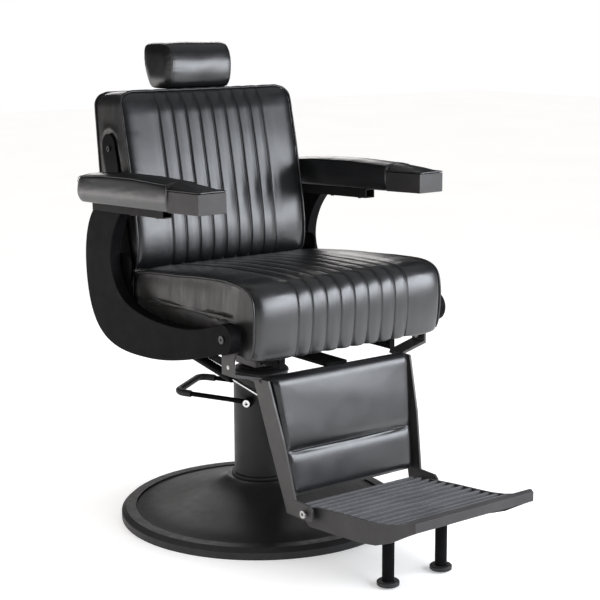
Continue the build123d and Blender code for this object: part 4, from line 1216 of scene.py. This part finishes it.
edge_ring = [(a_, 0) for a_ in range(nc)] + [(nc - 1, b_) for b_ in range(1, nh)] + [(a_, nh - 1) for a_ in range(nc - 2, -1, -1)]
edge_ring += [(0, b_) for b_ in range(nh - 2, 0, -1)]
prev = [lid[0, k[0], k[1]] for k in edge_ring]
last = [lid[1, k[0], k[1]] for k in edge_ring]
for f in (0.35, 0.7):
    cur = []
    for a_, b_ in zip(prev if f == 0.35 else first_ring, last):
        p = np.array(verts[a_]) * (1 - f) + np.array(verts[b_]) * f
        cur.append(len(verts))
        verts.append(p)
    if f == 0.35:
        first_ring = prev
    for k in range(len(cur)):
        k2 = (k + 1) % len(cur)
        faces.append((prev[k], prev[k2], cur[k2], cur[k]))
    prev = cur
for k in range(len(prev)):
    k2 = (k + 1) % len(prev)
    faces.append((prev[k], prev[k2], last[k2], last[k]))
leg = make("leg_pad_cover", verts, faces, "vinyl", "leg_rest")


def leg_pin(x, y, z):
    v = np.array((y, z)) - lp_bot
    h = v @ np.array((ly, lz))
    d = v @ np.array((lz, -ly))
    if d > 20 or abs(h - SEAM_H) < 2.0 or h < 1.5 or h > ll - 1.5 or abs(x) > leg_half(h) - 1.5:
        return 1.0
    return 0.0


stuff(leg, pin_weights(leg, leg_pin), 1.4, pressure=3.5, shrink=0.012)
subdivide(leg)
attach(leg, "leg_rest")
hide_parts("leg_pad")

# ------------------------------------------------------------------ floor and light
bm = bmesh.new()
bmesh.ops.create_grid(bm, x_segments=2, y_segments=2, size=14)
me = bpy.data.meshes.new("floor")
bm.to_mesh(me)
bm.free()
floor = bpy.data.objects.new("floor", me)
scene.collection.objects.link(floor)
fm = Mat("floor_pale", 0.9, specular=0.1)
fm.base(fm.mix_colour(fm.ramp(fm.noise(1.2, 3, 0.5), 0.3, 0.7), (0.86, 0.86, 0.86), (0.89, 0.89, 0.89)))
fm.b.inputs["Emission Color"].default_value = (1, 1, 1, 1)
fm.b.inputs["Emission Strength"].default_value = 0.30
floor.data.materials.append(fm.done())

world = bpy.data.worlds.new("studio")
scene.world = world
world.use_nodes = True
wt = world.node_tree
wt.nodes.clear()
wo = wt.nodes.new("ShaderNodeOutputWorld")
lp = wt.nodes.new("ShaderNodeLightPath")
bg_cam = wt.nodes.new("ShaderNodeBackground")
bg_cam.inputs["Color"].default_value = (1, 1, 1, 1)
bg_cam.inputs["Strength"].default_value = 1.0
bg_gloss = wt.nodes.new("ShaderNodeBackground")
bg_gloss.inputs["Color"].default_value = (0.92, 0.95, 1.0, 1)
bg_gloss.inputs["Strength"].default_value = 0.05
bg_diff = wt.nodes.new("ShaderNodeBackground")
bg_diff.inputs["Color"].default_value = (1.0, 0.985, 0.97, 1)
bg_diff.inputs["Strength"].default_value = 0.62
mixd = wt.nodes.new("ShaderNodeMixShader")
wt.links.new(lp.outputs["Is Diffuse Ray"], mixd.inputs[0])
wt.links.new(bg_cam.outputs[0], mixd.inputs[1])
wt.links.new(bg_diff.outputs[0], mixd.inputs[2])
mixw = wt.nodes.new("ShaderNodeMixShader")
wt.links.new(lp.outputs["Is Glossy Ray"], mixw.inputs[0])
wt.links.new(mixd.outputs[0], mixw.inputs[1])
wt.links.new(bg_gloss.outputs[0], mixw.inputs[2])
wt.links.new(mixw.outputs[0], wo.inputs["Surface"])


def softbox(name, at, aim, size, watts, colour):
    d = bpy.data.lights.new(name, "AREA")
    d.shape = "RECTANGLE"
    d.size, d.size_y = size
    d.energy = watts
    d.color = colour
    o = bpy.data.objects.new(name, d)
    scene.collection.objects.link(o)
    o.location = at
    o.rotation_euler = (Vector(aim) - Vector(at)).to_track_quat("-Z", "Y").to_euler()
    o.visible_camera = False
    return o


softbox("key", (1.00, -1.95, 1.04), (0.0, 0.1, 0.92), (2.6, 0.86), 68, (0.90, 0.935, 1.0))
softbox("fill_low", (-1.75, 2.20, 0.27), (0.0, 0.0, 0.6), (1.8, 0.42), 4.5, (1.0, 0.95, 0.94))
softbox("side", (-2.55, 0.25, 0.90), (0.0, 0.15, 0.9), (0.9, 1.1), 12, (1.0, 0.95, 0.93))
softbox("rear", (1.30, 2.20, 1.40), (0.0, 0.0, 0.3), (1.4, 0.7), 11, (1.0, 0.97, 0.96))
# a black card behind the chair keeps the far floor out of the upper side faces
bm = bmesh.new()
bmesh.ops.create_grid(bm, x_segments=1, y_segments=1, size=1)
me = bpy.data.meshes.new("black_card")
bm.to_mesh(me)
bm.free()
card = bpy.data.objects.new("black_card", me)
scene.collection.objects.link(card)
card.scale = (1.5, 0.9, 1)
card.location = (-2.35, 2.75, 1.42)
card.rotation_euler = (Vector((-0.2, 0.0, 1.42)) - Vector(card.location)).to_track_quat("Z", "Y").to_euler()
cm = Mat("card_black", 0.9, specular=0.0)
cm.base(cm.mix_colour(cm.ramp(cm.noise(3, 2, 0.5), 0.3, 0.7), (0.004, 0.004, 0.004), (0.006, 0.006, 0.006)))
card.data.materials.append(cm.done())
card.visible_camera = False
card.visible_shadow = False
card.visible_diffuse = False
sun_d = bpy.data.lights.new("overhead", "SUN")
sun_d.energy = 0.6
sun_d.angle = math.radians(100)
sun = bpy.data.objects.new("overhead", sun_d)
scene.collection.objects.link(sun)
sun.rotation_euler = (0, 0, 0)
